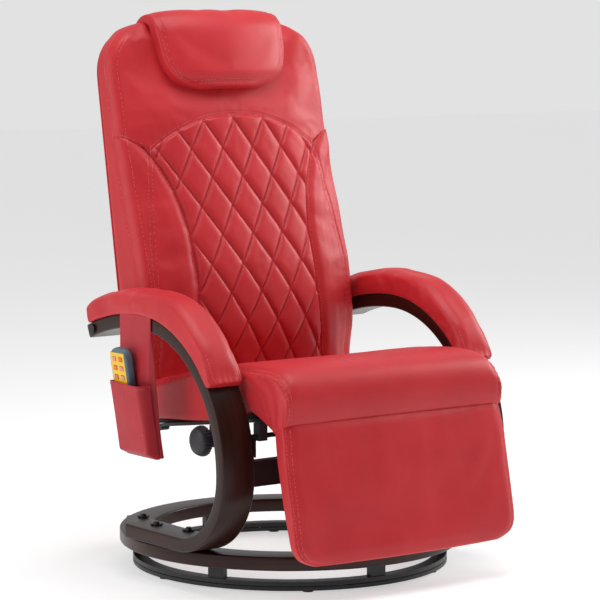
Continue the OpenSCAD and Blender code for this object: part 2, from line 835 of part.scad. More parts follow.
base_foot_pads();
base_ring();
bearing_balls();
swivel_ring();
ring_posts();
post_screws();
wooden_ring();
arm_frame_right();
arm_frame_left();
star_washers();
foot_bolts();
arm_pad_right();
arm_pad_left();
front_crossbar();
crossbar_screws();
seat_support_rod();
rod_glides();
lock_bracket();
lock_bracket_screws();
clamp_bolt();
clamp_block();
pivot_bolts();
pivot_spacers();
remote_pocket();
back_board();
back_cushion();
back_cover();
head_pillow();
back_brackets();
back_link_pins();
back_motors();
lumbar_heater();
seat_pan();
seat_cushion();
seat_rails();
seat_link_brackets();
seat_motors();
control_box();
power_inlet();
hinge_straps();
hinge_pins();
footrest_board();
footrest_cushion();
footrest_hinge_leaves();
footrest_motor();
recline_knob();
remote_housing();
remote_face();
key_power();
key_heat();
key_mode();
key_speed();
key_back();
key_seat();
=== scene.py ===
"""Looks of the massage recliner: upholstery, bent wood, black steel and the remote control.

Metres, +Z up, the chair faces -Y, +X is the sitter's left; the origin is on the floor on the swivel axis.
"""
import json
import math
import bmesh
import bpy
import numpy as np
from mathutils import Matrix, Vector
from mathutils.kdtree import KDTree


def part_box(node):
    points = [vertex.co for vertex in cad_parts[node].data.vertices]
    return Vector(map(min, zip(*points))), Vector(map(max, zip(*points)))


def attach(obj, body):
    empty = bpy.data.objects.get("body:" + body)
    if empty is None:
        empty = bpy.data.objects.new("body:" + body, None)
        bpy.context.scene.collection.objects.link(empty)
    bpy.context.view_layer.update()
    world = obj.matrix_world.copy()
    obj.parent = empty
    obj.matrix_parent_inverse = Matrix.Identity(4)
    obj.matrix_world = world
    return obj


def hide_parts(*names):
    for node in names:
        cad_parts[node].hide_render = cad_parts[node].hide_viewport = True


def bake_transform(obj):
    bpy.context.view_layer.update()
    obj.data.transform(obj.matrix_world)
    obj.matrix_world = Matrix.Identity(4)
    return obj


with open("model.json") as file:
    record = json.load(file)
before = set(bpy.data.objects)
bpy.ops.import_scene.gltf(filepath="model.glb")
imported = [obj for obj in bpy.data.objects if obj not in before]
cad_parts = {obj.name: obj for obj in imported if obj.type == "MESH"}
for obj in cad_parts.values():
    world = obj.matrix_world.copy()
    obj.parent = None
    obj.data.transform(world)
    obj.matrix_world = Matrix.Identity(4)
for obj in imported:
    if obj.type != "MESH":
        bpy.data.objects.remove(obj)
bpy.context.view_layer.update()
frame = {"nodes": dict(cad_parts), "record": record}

# ---- Sizes taken over from the design --------------------------------------------------------
ARM_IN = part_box("arm_frame_left")[0].x
ARM_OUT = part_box("arm_frame_left")[1].x
WOOD_T = 0.026
FOOT_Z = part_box("arm_frame_left")[0].z
FOOT_FRONT_Y, FOOT_REAR_Y = -0.095, 0.140
BEND_R, FRONT_R, REAR_R = 0.151, 0.266, 0.487
BEND_CZ = FOOT_Z + BEND_R
FRONT_CY = FOOT_FRONT_Y - BEND_R + FRONT_R
FRONT_CZ = BEND_CZ + 0.005
REAR_CZ = FRONT_CZ + FRONT_R - REAR_R
TIP_ANGLE = math.radians(21.6)
HALF = 0.251                                   # half width of the back and seat
BACK_SLOPE = math.radians(9.5)
BACK_AT = Vector((0, 0.217, 0.540))
BACK_LOW, BACK_TOP = -0.202, 0.480              # its lower and upper edge along the slope
BACK_H = BACK_TOP - BACK_LOW
HINGE = Vector((0, -0.303, 0.322))
FOOT_SLOPE = math.radians(13)
FOOT_LEN = 0.257


# ---- Small helpers ---------------------------------------------------------------------------
def smooth(x, a, b):
    """0 below a, 1 above b, smooth between."""
    t = np.clip((x - a) / (b - a), 0, 1)
    return t * t * (3 - 2 * t)


def mesh_object(name, co, faces, material=None, shade=True):
    mesh = bpy.data.meshes.new(name)
    mesh.from_pydata([tuple(c) for c in co], [], [tuple(f) for f in faces])
    mesh.validate()
    obj = bpy.data.objects.new(name, mesh)
    bpy.context.scene.collection.objects.link(obj)
    if shade:
        mesh.shade_smooth()
    if material:
        mesh.materials.append(material)
    return obj


def co_of(mesh):
    co = np.zeros(len(mesh.vertices) * 3)
    mesh.vertices.foreach_get("co", co)
    return co.reshape(-1, 3)


def set_co(mesh, co):
    mesh.vertices.foreach_set("co", co.ravel())
    mesh.update()


def normals_of(mesh):
    return np.array([n.vector[:] for n in mesh.vertex_normals])


def outward(obj):
    """Turns the faces of a closed mesh outward."""
    bm = bmesh.new()
    bm.from_mesh(obj.data)
    bmesh.ops.recalc_face_normals(bm, faces=bm.faces)
    if bm.calc_volume(signed=True) < 0:
        bmesh.ops.reverse_faces(bm, faces=bm.faces)
    bm.to_mesh(obj.data)
    bm.free()


def evaluated(obj):
    """A plain mesh of the object with its modifiers applied."""
    dg = bpy.context.evaluated_depsgraph_get()
    return bpy.data.meshes.new_from_object(obj.evaluated_get(dg))


def tilted(points, at, angle):
    """From a frame that leans back by angle, with its origin at `at`, to the row frame."""
    p = np.asarray(points, float)
    c, s = math.cos(angle), math.sin(angle)
    y = p[:, 1] * c + p[:, 2] * s
    z = -p[:, 1] * s + p[:, 2] * c
    return np.stack([p[:, 0] + at[0], y + at[1], z + at[2]], 1)


def curve_points(points, n):
    """n points evenly spaced along a smooth curve through the given points."""
    p = np.asarray(points, float)
    q = np.vstack([2 * p[0] - p[1], p, 2 * p[-1] - p[-2]])
    out = []
    for i in range(1, len(q) - 2):
        for t in np.linspace(0, 1, 24, endpoint=False):
            a, b, c, d = q[i - 1], q[i], q[i + 1], q[i + 2]
            out.append(0.5 * (2 * b + (c - a) * t + (2 * a - 5 * b + 4 * c - d) * t ** 2
                              + (3 * b - a - 3 * c + d) * t ** 3))
    out.append(p[-1])
    return resample(np.array(out), n)


def resample(points, n):
    step = np.linalg.norm(np.diff(points, axis=0), axis=1)
    at = np.concatenate([[0], np.cumsum(step)])
    t = np.linspace(0, at[-1], n)
    return np.stack([np.interp(t, at, points[:, k]) for k in range(points.shape[1])], 1)


def along(points, s):
    """Points at shares s (0 to 1) of a polyline's length."""
    step = np.linalg.norm(np.diff(points, axis=0), axis=1)
    at = np.concatenate([[0], np.cumsum(step)]) / step.sum()
    return np.stack([np.interp(s, at, points[:, k]) for k in range(points.shape[1])], -1)


# ---- Materials -------------------------------------------------------------------------------
def new_material(name):
    m = bpy.data.materials.new(name)
    m.use_nodes = True
    nodes, links = m.node_tree.nodes, m.node_tree.links
    return m, nodes, links, nodes["Principled BSDF"]


def coordinates(nodes, links, scale, source="Object"):
    tex = nodes.new("ShaderNodeTexCoord")
    mapping = nodes.new("ShaderNodeMapping")
    mapping.inputs["Scale"].default_value = scale
    links.new(tex.outputs[source], mapping.inputs["Vector"])
    return mapping.outputs["Vector"]


def noise_node(nodes, links, vector, scale, detail=3.0, rough=0.55):
    n = nodes.new("ShaderNodeTexNoise")
    n.inputs["Scale"].default_value = scale
    n.inputs["Detail"].default_value = detail
    n.inputs["Roughness"].default_value = rough
    links.new(vector, n.inputs["Vector"])
    return n.outputs["Fac"]


def ramp(nodes, links, fac, stops):
    r = nodes.new("ShaderNodeValToRGB")
    el = r.color_ramp.elements
    while len(el) < len(stops):
        el.new(0.5)
    for e, (pos, colour) in zip(el, stops):
        e.position = pos
        e.color = (*colour, 1)
    links.new(fac, r.inputs["Fac"])
    return r.outputs["Color"]


def bump(nodes, links, bsdf, height, distance, strength, after=None):
    b = nodes.new("ShaderNodeBump")
    b.inputs["Distance"].default_value = distance
    b.inputs["Strength"].default_value = strength
    links.new(height, b.inputs["Height"])
    if after:
        links.new(after, b.inputs["Normal"])
    links.new(b.outputs["Normal"], bsdf.inputs["Normal"])
    return b.outputs["Normal"]


def map_range(nodes, links, value, low, high, start=0.0):
    """Takes a value that runs from start to 1 to the range low to high."""
    n = nodes.new("ShaderNodeMapRange")
    n.inputs["From Min"].default_value = start
    for socket, end in (("To Min", low), ("To Max", high)):
        if isinstance(end, bpy.types.NodeSocket):
            links.new(end, n.inputs[socket])
        else:
            n.inputs[socket].default_value = end
    links.new(value, n.inputs["Value"])
    return n.outputs["Result"]


def leather(name, base, dark, rough=0.43):
    """Smooth imitation leather: fine pebble grain, faint mottling."""
    m, nodes, links, bsdf = new_material(name)
    vector = coordinates(nodes, links, (1, 1, 1))
    mottling = noise_node(nodes, links, vector, 9, 4)
    links.new(ramp(nodes, links, mottling, [(0.32, dark), (0.68, base)]), bsdf.inputs["Base Color"])
    gloss = map_range(nodes, links, noise_node(nodes, links, vector, 60, 3), rough - 0.06, rough + 0.08)
    links.new(gloss, bsdf.inputs["Roughness"])
    pebble = nodes.new("ShaderNodeTexVoronoi")
    pebble.inputs["Scale"].default_value = 620
    links.new(vector, pebble.inputs["Vector"])
    grain = bump(nodes, links, bsdf, pebble.outputs["Distance"], 0.0004, 0.22)
    bump(nodes, links, bsdf, noise_node(nodes, links, vector, 34, 4), 0.004, 0.10, grain)
    bsdf.inputs["Specular IOR Level"].default_value = 0.36
    return m


def wood(name, dark, light, source="UV"):
    """Stained bent wood: grain runs along the first coordinate, in metres."""
    m, nodes, links, bsdf = new_material(name)
    vector = coordinates(nodes, links, (5, 170, 1), source)
    grain = noise_node(nodes, links, vector, 1.0, 7, 0.62)
    bands = noise_node(nodes, links, coordinates(nodes, links, (1.6, 30, 1), source), 1.0, 4)
    mix = nodes.new("ShaderNodeMath")
    mix.operation = "MULTIPLY_ADD"
    mix.inputs[1].default_value = 0.55
    links.new(grain, mix.inputs[0])
    half = nodes.new("ShaderNodeMath")
    half.operation = "MULTIPLY"
    half.inputs[1].default_value = 0.45
    links.new(bands, half.inputs[0])
    links.new(half.outputs[0], mix.inputs[2])
    middle = [(a + b) / 2 for a, b in zip(dark, light)]
    colour = ramp(nodes, links, mix.outputs[0], [(0.34, dark), (0.52, middle), (0.68, light)])
    links.new(colour, bsdf.inputs["Base Color"])
    bump(nodes, links, bsdf, grain, 0.0006, 0.25)
    bsdf.inputs["Roughness"].default_value = 0.32
    bsdf.inputs["Specular IOR Level"].default_value = 0.28
    return m


def painted(name, colour, rough, metallic=0.0, texture=900.0, depth=0.0001, spread=0.15):
    """Paint, plastic or plated metal with a fine surface texture and slight wear in its gloss."""
    m, nodes, links, bsdf = new_material(name)
    vector = coordinates(nodes, links, (1, 1, 1))
    tone = noise_node(nodes, links, vector, 22, 4)
    lighter = [min(1, c * (1 + spread) + 0.002) for c in colour]
    darker = [c * (1 - spread) for c in colour]
    links.new(ramp(nodes, links, tone, [(0.3, darker), (0.7, lighter)]), bsdf.inputs["Base Color"])
    gloss = map_range(nodes, links, noise_node(nodes, links, vector, 70, 3), rough - 0.05, rough + 0.07)
    links.new(gloss, bsdf.inputs["Roughness"])
    bump(nodes, links, bsdf, noise_node(nodes, links, vector, texture, 2), depth, 0.3)
    bsdf.inputs["Metallic"].default_value = metallic
    return m


RED, RED_DARK = (0.60, 0.029, 0.037), (0.53, 0.021, 0.028)
M = {
    "leather": leather("red_leather", RED, RED_DARK),
    "pocket": leather("pocket_leather", (0.50, 0.026, 0.038), (0.42, 0.018, 0.03), 0.5),
    "thread": painted("red_thread", (0.72, 0.11, 0.12), 0.6, texture=2500),
    "wood": wood("walnut", (0.012, 0.0032, 0.0022), (0.046, 0.0135, 0.0085)),
    "wood_cad": wood("plywood", (0.30, 0.19, 0.10), (0.58, 0.42, 0.24), "Object"),
    "black": painted("black_paint", (0.0045, 0.0045, 0.0055), 0.42),
    "zinc": painted("zinc_plate", (0.50, 0.51, 0.53), 0.32, 1.0, 500, 0.00005),
    "rubber": painted("black_rubber", (0.014, 0.014, 0.015), 0.75, texture=400, depth=0.0003),
    "plastic": painted("black_plastic", (0.020, 0.020, 0.024), 0.48, texture=1500, depth=0.0002),
    "remote": painted("remote_grey_blue", (0.105, 0.155, 0.205), 0.42, texture=2200, spread=0.08),
    "yellow": painted("remote_yellow", (0.90, 0.56, 0.012), 0.35, texture=2200, depth=0.00005, spread=0.05),
    "orange": painted("key_orange", (0.80, 0.17, 0.045), 0.5, texture=2000, spread=0.08),
    "pink": painted("key_pink", (0.80, 0.30, 0.20), 0.5, texture=2000, spread=0.08),
    "motor": painted("motor_grey", (0.05, 0.055, 0.06), 0.5),
    "felt": painted("heater_felt", (0.11, 0.08, 0.07), 0.9, texture=800, depth=0.0006),
    "lining": painted("black_lining", (0.018, 0.017, 0.018), 0.85, texture=1400, depth=0.0004),
}

SLOT_MATERIAL = {
    "black_steel": "black", "zinc_steel": "zinc", "black_rubber": "rubber", "glide_plastic": "plastic",
    "plywood": "wood_cad", "motor_case": "motor", "heater_felt": "felt", "knob_plastic": "plastic",
    "remote_plastic": "remote", "remote_yellow": "yellow", "key_orange": "orange", "faux_leather": "leather",
    "pocket_leather": "pocket", "back_cover_fabric": "leather", "walnut_veneer": "wood",
}
SLOT_OF = {s["node"]: s["material_slot"] for s in frame["record"]["subparts"]}


def dress_cad_nodes():
    for name, obj in frame["nodes"].items():
        obj.data.materials.clear()
        obj.data.materials.append(M[SLOT_MATERIAL[SLOT_OF[name]]])
    for name in ("key_heat", "key_mode", "key_back"):
        frame["nodes"][name].data.materials[0] = M["pink"]
    frame["nodes"]["seat_pan"].data.materials[0] = M["lining"]


def dress(mesh, material):
    mesh.materials.clear()
    mesh.materials.append(M[material])
    mesh.shade_smooth()


# ---- Padded pieces ---------------------------------------------------------------------------
LAST, FIRST = 0.99, 0.01                       # beyond these a point is on a face of its block
# A pad starts as the surface of a block of cells with the coordinates u (-1 to 1 across), s (0 to 1
# along) and t (0 to 1 through). place() puts it in the row frame. The cloth simulation fills it, and
# detail() adds quilting and seams to the finer mesh.
def block_cells(nu, ns, nt):
    index, params, faces = {}, [], []

    def vert(i, j, k):
        key = (i, j, k)
        if key not in index:
            index[key] = len(params)
            params.append((2 * i / nu - 1, j / ns, k / nt))
        return index[key]

    for i in range(nu):
        for j in range(ns):
            for k in (0, nt):
                faces.append([vert(i, j, k), vert(i + 1, j, k), vert(i + 1, j + 1, k), vert(i, j + 1, k)])
    for j in range(ns):
        for k in range(nt):
            for i in (0, nu):
                faces.append([vert(i, j, k), vert(i, j + 1, k), vert(i, j + 1, k + 1), vert(i, j, k + 1)])
    for i in range(nu):
        for k in range(nt):
            for j in (0, ns):
                faces.append([vert(i, j, k), vert(i + 1, j, k), vert(i + 1, j, k + 1), vert(i, j, k + 1)])
    return np.array(params), faces


class Pad:
    """One stuffed piece, from its block of cells to its finished mesh."""

    def __init__(self, name, cells, size, place, pin, puff, fill, slot="faux_leather"):
        """size: metres per unit of (u, s, t); puff: how deep the filling swells, in metres."""
        self.name, self.size, self.puff = name, np.array(size), puff
        self.fill, self.slot = fill, slot
        self.params, self.faces = block_cells(*cells)
        self.rest = place(*self.params.T)
        self.pin = np.clip(pin(*self.params.T), 0, 1)
        self.shape = self.rest.copy()
        self.obj = mesh_object(name + "_cells", self.rest, self.faces)
        outward(self.obj)

    def add_cloth(self):
        group = self.obj.vertex_groups.new(name="pin")
        for i, w in enumerate(self.pin):
            if w > 0:
                group.add([i], float(w), "REPLACE")
        mod = self.obj.modifiers.new("cloth", "CLOTH")
        c = mod.settings
        c.quality = 4
        c.mass = 0.25
        c.tension_stiffness = c.compression_stiffness = 18
        c.shear_stiffness = 8
        c.bending_stiffness = 1.2
        c.air_damping = 3
        c.vertex_group_mass = "pin"
        c.use_pressure = True
        c.uniform_pressure_force = 1.6
        c.shrink_min = -0.025
        c.effector_weights.gravity = 0.25
        mod.collision_settings.use_collision = False

    def read_cloth(self):
        """Takes over the cloth's movement, scaled to the depth of puff and capped."""
        settled = co_of(evaluated(self.obj))
        move = settled - self.rest
        length = np.linalg.norm(move, axis=1)
        free = length[self.pin < 0.5]
        typical = np.percentile(free, 90) if len(free) else 0
        if typical > 1e-5:
            move *= self.puff / typical
            over = np.linalg.norm(move, axis=1)
            move *= np.minimum(1, 1.8 * self.puff / np.maximum(over, 1e-9))[:, None]
        self.shape = self.rest + move

    def finish(self, detail, snap=None, hidden=None):
        """The fine mesh: snap() slides points onto the sewn lines, detail() pushes along the normals."""
        self.obj.modifiers.clear()
        fine = {}
        for kind, co in (("co", self.shape), ("par", self.params)):
            set_co(self.obj.data, co)
            mod = self.obj.modifiers.new("finer", "SUBSURF")
            mod.levels = mod.render_levels = 2
            mod.subdivision_type = "CATMULL_CLARK" if kind == "co" else "SIMPLE"
            fine[kind] = evaluated(self.obj)
            self.obj.modifiers.clear()
        mesh = fine["co"]
        self.fine_params = co_of(fine["par"])
        bpy.data.meshes.remove(fine["par"])
        co = co_of(mesh)
        if snap:
            self.fine_params, shift = snap(*self.fine_params.T)
            co = co + shift
            set_co(mesh, co)
        co = co + normals_of(mesh) * detail(*self.fine_params.T)[:, None]
        set_co(mesh, co)
        self.co, self.normals = co, normals_of(mesh)
        mesh.name = self.name
        dress(mesh, "leather")
        if hidden:
            self.simplify(mesh, hidden(*self.fine_params.T))
        old = self.obj.data
        self.obj.data = mesh
        self.obj.name = self.name
        self.obj.vertex_groups.clear()
        bpy.data.meshes.remove(old)
        self.tree = KDTree(len(co))
        metric = self.fine_params * self.size
        for i, p in enumerate(metric):
            self.tree.insert(p, i)
        self.tree.balance()
        return self.obj

    def simplify(self, mesh, hidden):
        """Merges the flat faces that lie against the board into a few large ones."""
        bm = bmesh.new()
        bm.from_mesh(mesh)
        bm.verts.ensure_lookup_table()
        flat = [f for f in bm.faces if all(hidden[v.index] for v in f.verts)]
        bmesh.ops.dissolve_faces(bm, faces=flat, use_verts=False)
        bmesh.ops.triangulate(bm, faces=[f for f in bm.faces if len(f.verts) > 4])
        bm.to_mesh(mesh)
        bm.free()

    def on_surface(self, line):
        """Points and normals on the finished surface for a line of (u, s, t)."""
        points, normals = [], []
        for q in np.asarray(line) * self.size:
            near = self.tree.find_n(q, 5)
            w = np.array([1 / (d * d + 1e-7) for _, _, d in near])
            ids = [i for _, i, _ in near]
            points.append((self.co[ids] * w[:, None]).sum(0) / w.sum())
            n = (self.normals[ids] * w[:, None]).sum(0)
            normals.append(n / np.linalg.norm(n))
        return np.array(points), np.array(normals)


STITCH_PITCH, STITCH_LENGTH, THREAD_R = 0.0062, 0.0042, 0.00055


def stitches(name, rows):
    """Separate thread stitches along rows of (points, normals)."""
    co, faces = [], []
    rings = [(-0.5, 0.25), (-0.36, 0.9), (0, 1.0), (0.36, 0.9), (0.5, 0.25)]
    for points, normals in rows:
        total = np.linalg.norm(np.diff(points, axis=0), axis=1).sum()
        n = max(2, int(total / STITCH_PITCH))
        both = resample(np.hstack([points, normals]), 2 * n + 1)
        for i in range(1, 2 * n, 2):
            a, b = both[i - 1, :3], both[i + 1, :3]
            d = (b - a) / max(np.linalg.norm(b - a), 1e-9)
            up = both[i, 3:] / np.linalg.norm(both[i, 3:])
            side = np.cross(d, up)
            centre = both[i, :3] + up * THREAD_R * 0.2
            first = len(co)
            for along_it, share in rings:
                for k in range(6):
                    a6 = k * math.pi / 3
                    co.append(centre + d * along_it * STITCH_LENGTH
                              + (side * math.cos(a6) + up * math.sin(a6)) * THREAD_R * share)
            for r in range(len(rings) - 1):
                for k in range(6):
                    p, q = first + r * 6 + k, first + r * 6 + (k + 1) % 6
                    faces.append([p, q, q + 6, p + 6])
            faces.append([first + k for k in range(5, -1, -1)])
            faces.append([first + 24 + k for k in range(6)])
    obj = mesh_object(name, co, faces, M["thread"])
    return obj


EDGE_SEAMS = (0.0035, 0.0115)                  # two rows beside an edge: distance from it


def edge_rows(pad, half, s):
    """The two rows beside both edges of a pad, for the stretch s."""
    return [pad.on_surface(np.stack([np.full(len(s), sign * (1 - off / half)), s, np.ones(len(s))], 1))
            for sign in (-1, 1) for off in EDGE_SEAMS]


def edge_seams(rim):
    return (groove(rim - EDGE_SEAMS[0], 0.0008, 0.0013) + groove(rim - EDGE_SEAMS[1], 0.0010, 0.0014)
            + valley(rim - 0.007, 0.0012, 0.006))


def groove(distance, depth, width):
    """A seam's narrow valley."""
    return -depth * np.exp(-(distance / width) ** 2)


def valley(distance, depth, width):
    """The softer dip of the filling beside a seam."""
    return -depth * np.exp(-np.abs(distance) / width)


def wobble(s, seed, wave=0.012):
    """Irregular ripples along a seam, -1 to 1."""
    r = np.random.default_rng(seed)
    total = 0
    for k in (1.0, 1.7, 2.9):
        total = total + np.sin(2 * math.pi * s / wave / k + r.uniform(0, 6.28)) / k
    return total / 1.9


# ---- Backrest --------------------------------------------------------------------------------
FRONT_Z = np.array([-0.190, -0.165, -0.110, -0.026, 0.090, 0.260, 0.400, 0.480])
FRONT_D = np.array([0.055, 0.070, 0.084, 0.091, 0.075, 0.049, 0.040, 0.034])
CORNER_R = 0.095
ARCH_R, ARCH_Z = 0.3225, -0.0255               # arch seam: circle's radius and centre height
YOKE_X = 0.192                                 # where the arch meets the border seam
YOKE_Z = ARCH_Z + math.sqrt(ARCH_R ** 2 - YOKE_X ** 2)


def back_half_width(z):
    drop = np.clip(z - (BACK_TOP - CORNER_R), 0, CORNER_R)
    return HALF - CORNER_R + np.sqrt(np.maximum(CORNER_R ** 2 - drop ** 2, 0))


EDGE_R = 0.020                                 # rounding between the front and the side panels


def back_depth(x, z):
    heights = np.linspace(-0.19, 0.48, 60)
    soft = np.convolve(np.pad(np.interp(heights, FRONT_Z, FRONT_D), 3, "edge"), np.ones(7) / 7, "valid")
    side = np.interp(z, heights, soft) + 0.006 * smooth(z, 0.1, 0.4)
    crown = 0.032 * np.clip((BACK_TOP - z) / 0.2, 0.45, 1)
    into = np.clip((np.abs(x) - (back_half_width(z) - EDGE_R)) / EDGE_R, 0, 1)
    rounding = 0.8 * EDGE_R * (1 - np.sqrt(np.maximum(1 - into ** 2, 0)))
    return side + crown * (1 - np.minimum(np.abs(x) / HALF, 1) ** 2.4) - rounding


def place_back(u, s, t):
    z = BACK_LOW + s * BACK_H
    x = u * back_half_width(z)
    front, rear = -back_depth(x, z), -0.004
    top_round = 0.022 * smooth(s, 0.955, 1.0)
    y = rear + (front - rear) * t + top_round * t
    lip = 0.005 * smooth(s, 0.965, 1.0)                 # covers the board's upper edge
    return tilted(np.stack([x, y, z + lip], 1), BACK_AT, BACK_SLOPE)


def border_x(z):
    return 0.138 + np.where(z > 0.01, 2.96 * np.maximum(z - 0.01, 0) ** 2.6, 0.46 * (z - 0.01) ** 2)


def outer_seam_x(z):
    return 0.224 - 0.029 * np.clip((z + 0.02) / 0.24, 0, 1) ** 1.3


def arch_z(x):
    return ARCH_Z + np.sqrt(np.maximum(ARCH_R ** 2 - np.minimum(np.abs(x), ARCH_R) ** 2, 0))


def yoke_z(x):
    """The yoke's lower seam across the whole front."""
    x = np.abs(x)
    ear = YOKE_Z + 0.030 * np.clip((x - YOKE_X) / 0.055, 0, 1) ** 0.85
    return np.where(x < YOKE_X, arch_z(x), ear)


def back_seam_distances(x, z):
    ax = np.abs(x)
    slope = np.where(ax < YOKE_X, ax / np.maximum(arch_z(x) - ARCH_Z, 1e-3), -0.5)
    to_yoke = (z - yoke_z(x)) / np.sqrt(1 + slope ** 2)
    rise = (border_x(z + 0.002) - border_x(z - 0.002)) / 0.004
    to_border = (ax - border_x(z)) / np.sqrt(1 + rise ** 2)
    to_outer = ax - outer_seam_x(z)
    return to_yoke, to_border, to_outer


def back_pin(u, s, t):
    z = BACK_LOW + s * BACK_H
    x = u * back_half_width(z)
    yoke, border, _ = back_seam_distances(x, z)
    near = np.minimum(np.abs(yoke), np.where(z < yoke_z(x), np.abs(border), 9))
    seam = np.where((t > LAST) & (near < 0.0045) & (np.abs(x) < 0.225), 0.97, 0.0)
    hidden = np.where((t < FIRST) | (s < FIRST) | ((s > LAST) & (t < 0.6)), 1.0, 0.0)
    rim = np.where((t > LAST) & (np.abs(u) > 0.88), 0.8, 0.0)
    edges = np.where((np.abs(u) > LAST) & (t > 0.4), 0.98, 0.0)
    quilt = np.where((t > LAST) & (yoke < 0) & (border < 0), 0.55, 0.0)
    return np.maximum.reduce([seam, hidden, rim, edges, quilt])


DIAMOND_W, DIAMOND_H, DIAMOND_Z = 0.070, 0.1125, 0.1745
RIM_SEAM = 0.0175                              # from the back's outline to the row inside it


def quilt_phase(x, z):
    """Whole numbers are on the lines of the two families."""
    return x / DIAMOND_W + (z - DIAMOND_Z) / DIAMOND_H, x / DIAMOND_W - (z - DIAMOND_Z) / DIAMOND_H


STEEP = math.hypot(1 / DIAMOND_W, 1 / DIAMOND_H)
SNAP = 0.0011


def back_snap(u, s, t):
    """Slides the fine points that are next to a quilting line or a seam onto it."""
    z = BACK_LOW + s * BACK_H
    x = u * back_half_width(z)
    front = (t > 0.999) & (np.abs(u) < LAST) & (s < LAST) & (s > FIRST)
    dx, dz = np.zeros_like(x), np.zeros_like(x)
    yoke, border, _ = back_seam_distances(x, z)
    quilted = front & (yoke < -0.002) & (border < -0.002)
    for q, sign in zip(quilt_phase(x, z), (1, -1)):
        off = (np.round(q) - q) / STEEP
        near = quilted & (np.abs(off) < SNAP)
        dx += np.where(near, off / DIAMOND_W / STEEP, 0)
        dz += np.where(near, sign * off / DIAMOND_H / STEEP, 0)
    at_yoke = front & (np.abs(yoke) < SNAP)
    dz = np.where(at_yoke, -yoke, dz)
    at_border = front & (z < yoke_z(x)) & (np.abs(border) < SNAP) & ~at_yoke
    dx = np.where(at_border, -border * np.sign(x), dx)
    moved = np.stack([(x + dx) / back_half_width(z + dz), (z + dz - BACK_LOW) / BACK_H, t], 1)
    params = np.where((dx != 0)[:, None] | (dz != 0)[:, None], moved, np.stack([u, s, t], 1))
    shift = place_back(*params.T) - place_back(u, s, t)
    return params, shift


def back_hidden(u, s, t):
    return (t < 0.001) & (np.abs(u) < LAST) & (s > FIRST) & (s < 0.93)


def back_detail(u, s, t):
    z = BACK_LOW + s * BACK_H
    x = u * back_half_width(z)
    front = smooth(t, 0.92, 1.0)
    yoke, border, outer = back_seam_distances(x, z)
    low = z < yoke_z(x)
    inside = smooth(-yoke, 0.001, 0.006) * smooth(-border, 0.001, 0.006)
    # quilting: two families of lines
    a, b = quilt_phase(x, z)
    da, db = (np.abs(q - np.round(q)) / STEEP for q in (a, b))
    puff = 0.0058 * (1 - np.exp(-da / 0.0048)) * (1 - np.exp(-db / 0.0048))
    lines = groove(da, 0.0016, 0.0014) + groove(db, 0.0016, 0.0014)
    h = front * inside * (puff + lines)
    # seams: the arch is a flat band between two rows of stitches
    arch = np.where(np.abs(x) < YOKE_X + 0.004, yoke, 9)
    ears = np.where(np.abs(x) < YOKE_X + 0.004, 9, yoke)
    fading = 1 - 0.8 * smooth(np.abs(x), 0.222, 0.246)
    h = h + front * (groove(arch, 0.0016, 0.0014) + groove(np.abs(arch) - 0.0046, 0.0011, 0.0014)
                     + (groove(ears, 0.0026, 0.0018) + valley(ears, 0.0014, 0.008)) * fading)
    bord = np.where(low, border, 9)
    h = h + front * (groove(bord, 0.0026, 0.0016) + valley(bord, 0.0030, 0.008))
    h = h + front * 0.0030 * smooth(bord, 0.0, 0.020) * (1 - smooth(bord, 0.034, 0.056)) * (bord < 1)
    out = np.where(low & (z < yoke_z(x) - 0.004), outer, 9)
    h = h + front * (groove(np.abs(out) - 0.0040, 0.0012, 0.0014) + valley(out, 0.0014, 0.006))
    rim = back_half_width(z) - np.abs(x)
    h = h + front * groove(rim - RIM_SEAM, 0.0010, 0.0015)
    side = np.where(np.abs(u) > 0.985, 1.0, 0.0)
    edge = (1 - t) * 0.075
    h = h + side * groove(edge - 0.006, 0.0010, 0.0015)
    # ripples that the thread pulls in beside the seams
    near = np.exp(-np.abs(bord) / 0.007) + np.exp(-np.abs(yoke) / 0.007) + 0.6 * np.exp(-np.abs(out) / 0.006)
    h = h + front * 0.0003 * near * wobble(z + 0.35 * np.abs(x), 3)
    return h + front * (1 - inside) * 0.0011 * wobble(z + 0.2 * x, 21, 0.11)


def back_line(x, z):
    """A line on the front of the back, from (x, z) to the block's coordinates."""
    return np.stack([x / back_half_width(z), (z - BACK_LOW) / BACK_H, np.ones(len(x))], 1)


def back_stitches(pad):
    x = np.linspace(-0.190, 0.190, 130)
    lines = [back_line(x, arch_z(x) + off) for off in (-0.0045, 0.0045)]
    for sign in (-1, 1):
        z = np.linspace(BACK_LOW + 0.02, YOKE_Z - 0.006, 120)
        lines.append(back_line(sign * (border_x(z) + 0.0045), z))
        z = np.linspace(BACK_LOW + 0.02, 0.240, 120)
        lines += [back_line(sign * (outer_seam_x(z) + off), z) for off in (-0.004, 0.004)]
        z = np.linspace(BACK_LOW + 0.015, BACK_TOP - 0.012, 220)
        lines.append(back_line(sign * (back_half_width(z) - RIM_SEAM), z))
        ear = np.linspace(0.200, 0.244, 16)
        lines.append(back_line(sign * ear, yoke_z(ear) + 0.0045))
        s = np.linspace(0.02, 0.985, 200)
        lines.append(np.stack([np.full(200, float(sign)), s, np.full(200, 0.92)], 1))
    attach(stitches("back_stitches", [pad.on_surface(line) for line in lines]), "backrest")


# ---- Rear cover of the back ------------------------------------------------------------------
def place_cover(u, s, t):
    z = BACK_LOW + s * BACK_H
    x = u * back_half_width(z)
    y = -0.004 + 0.0055 * t
    return tilted(np.stack([x, y, z], 1), BACK_AT, BACK_SLOPE)


def cover_pin(u, s, t):
    edge = np.where((np.abs(u) > LAST) | (s < FIRST) | (s > LAST), 1.0, 0.0)
    return np.maximum(edge, np.where(t < FIRST, 1.0, 0.0))


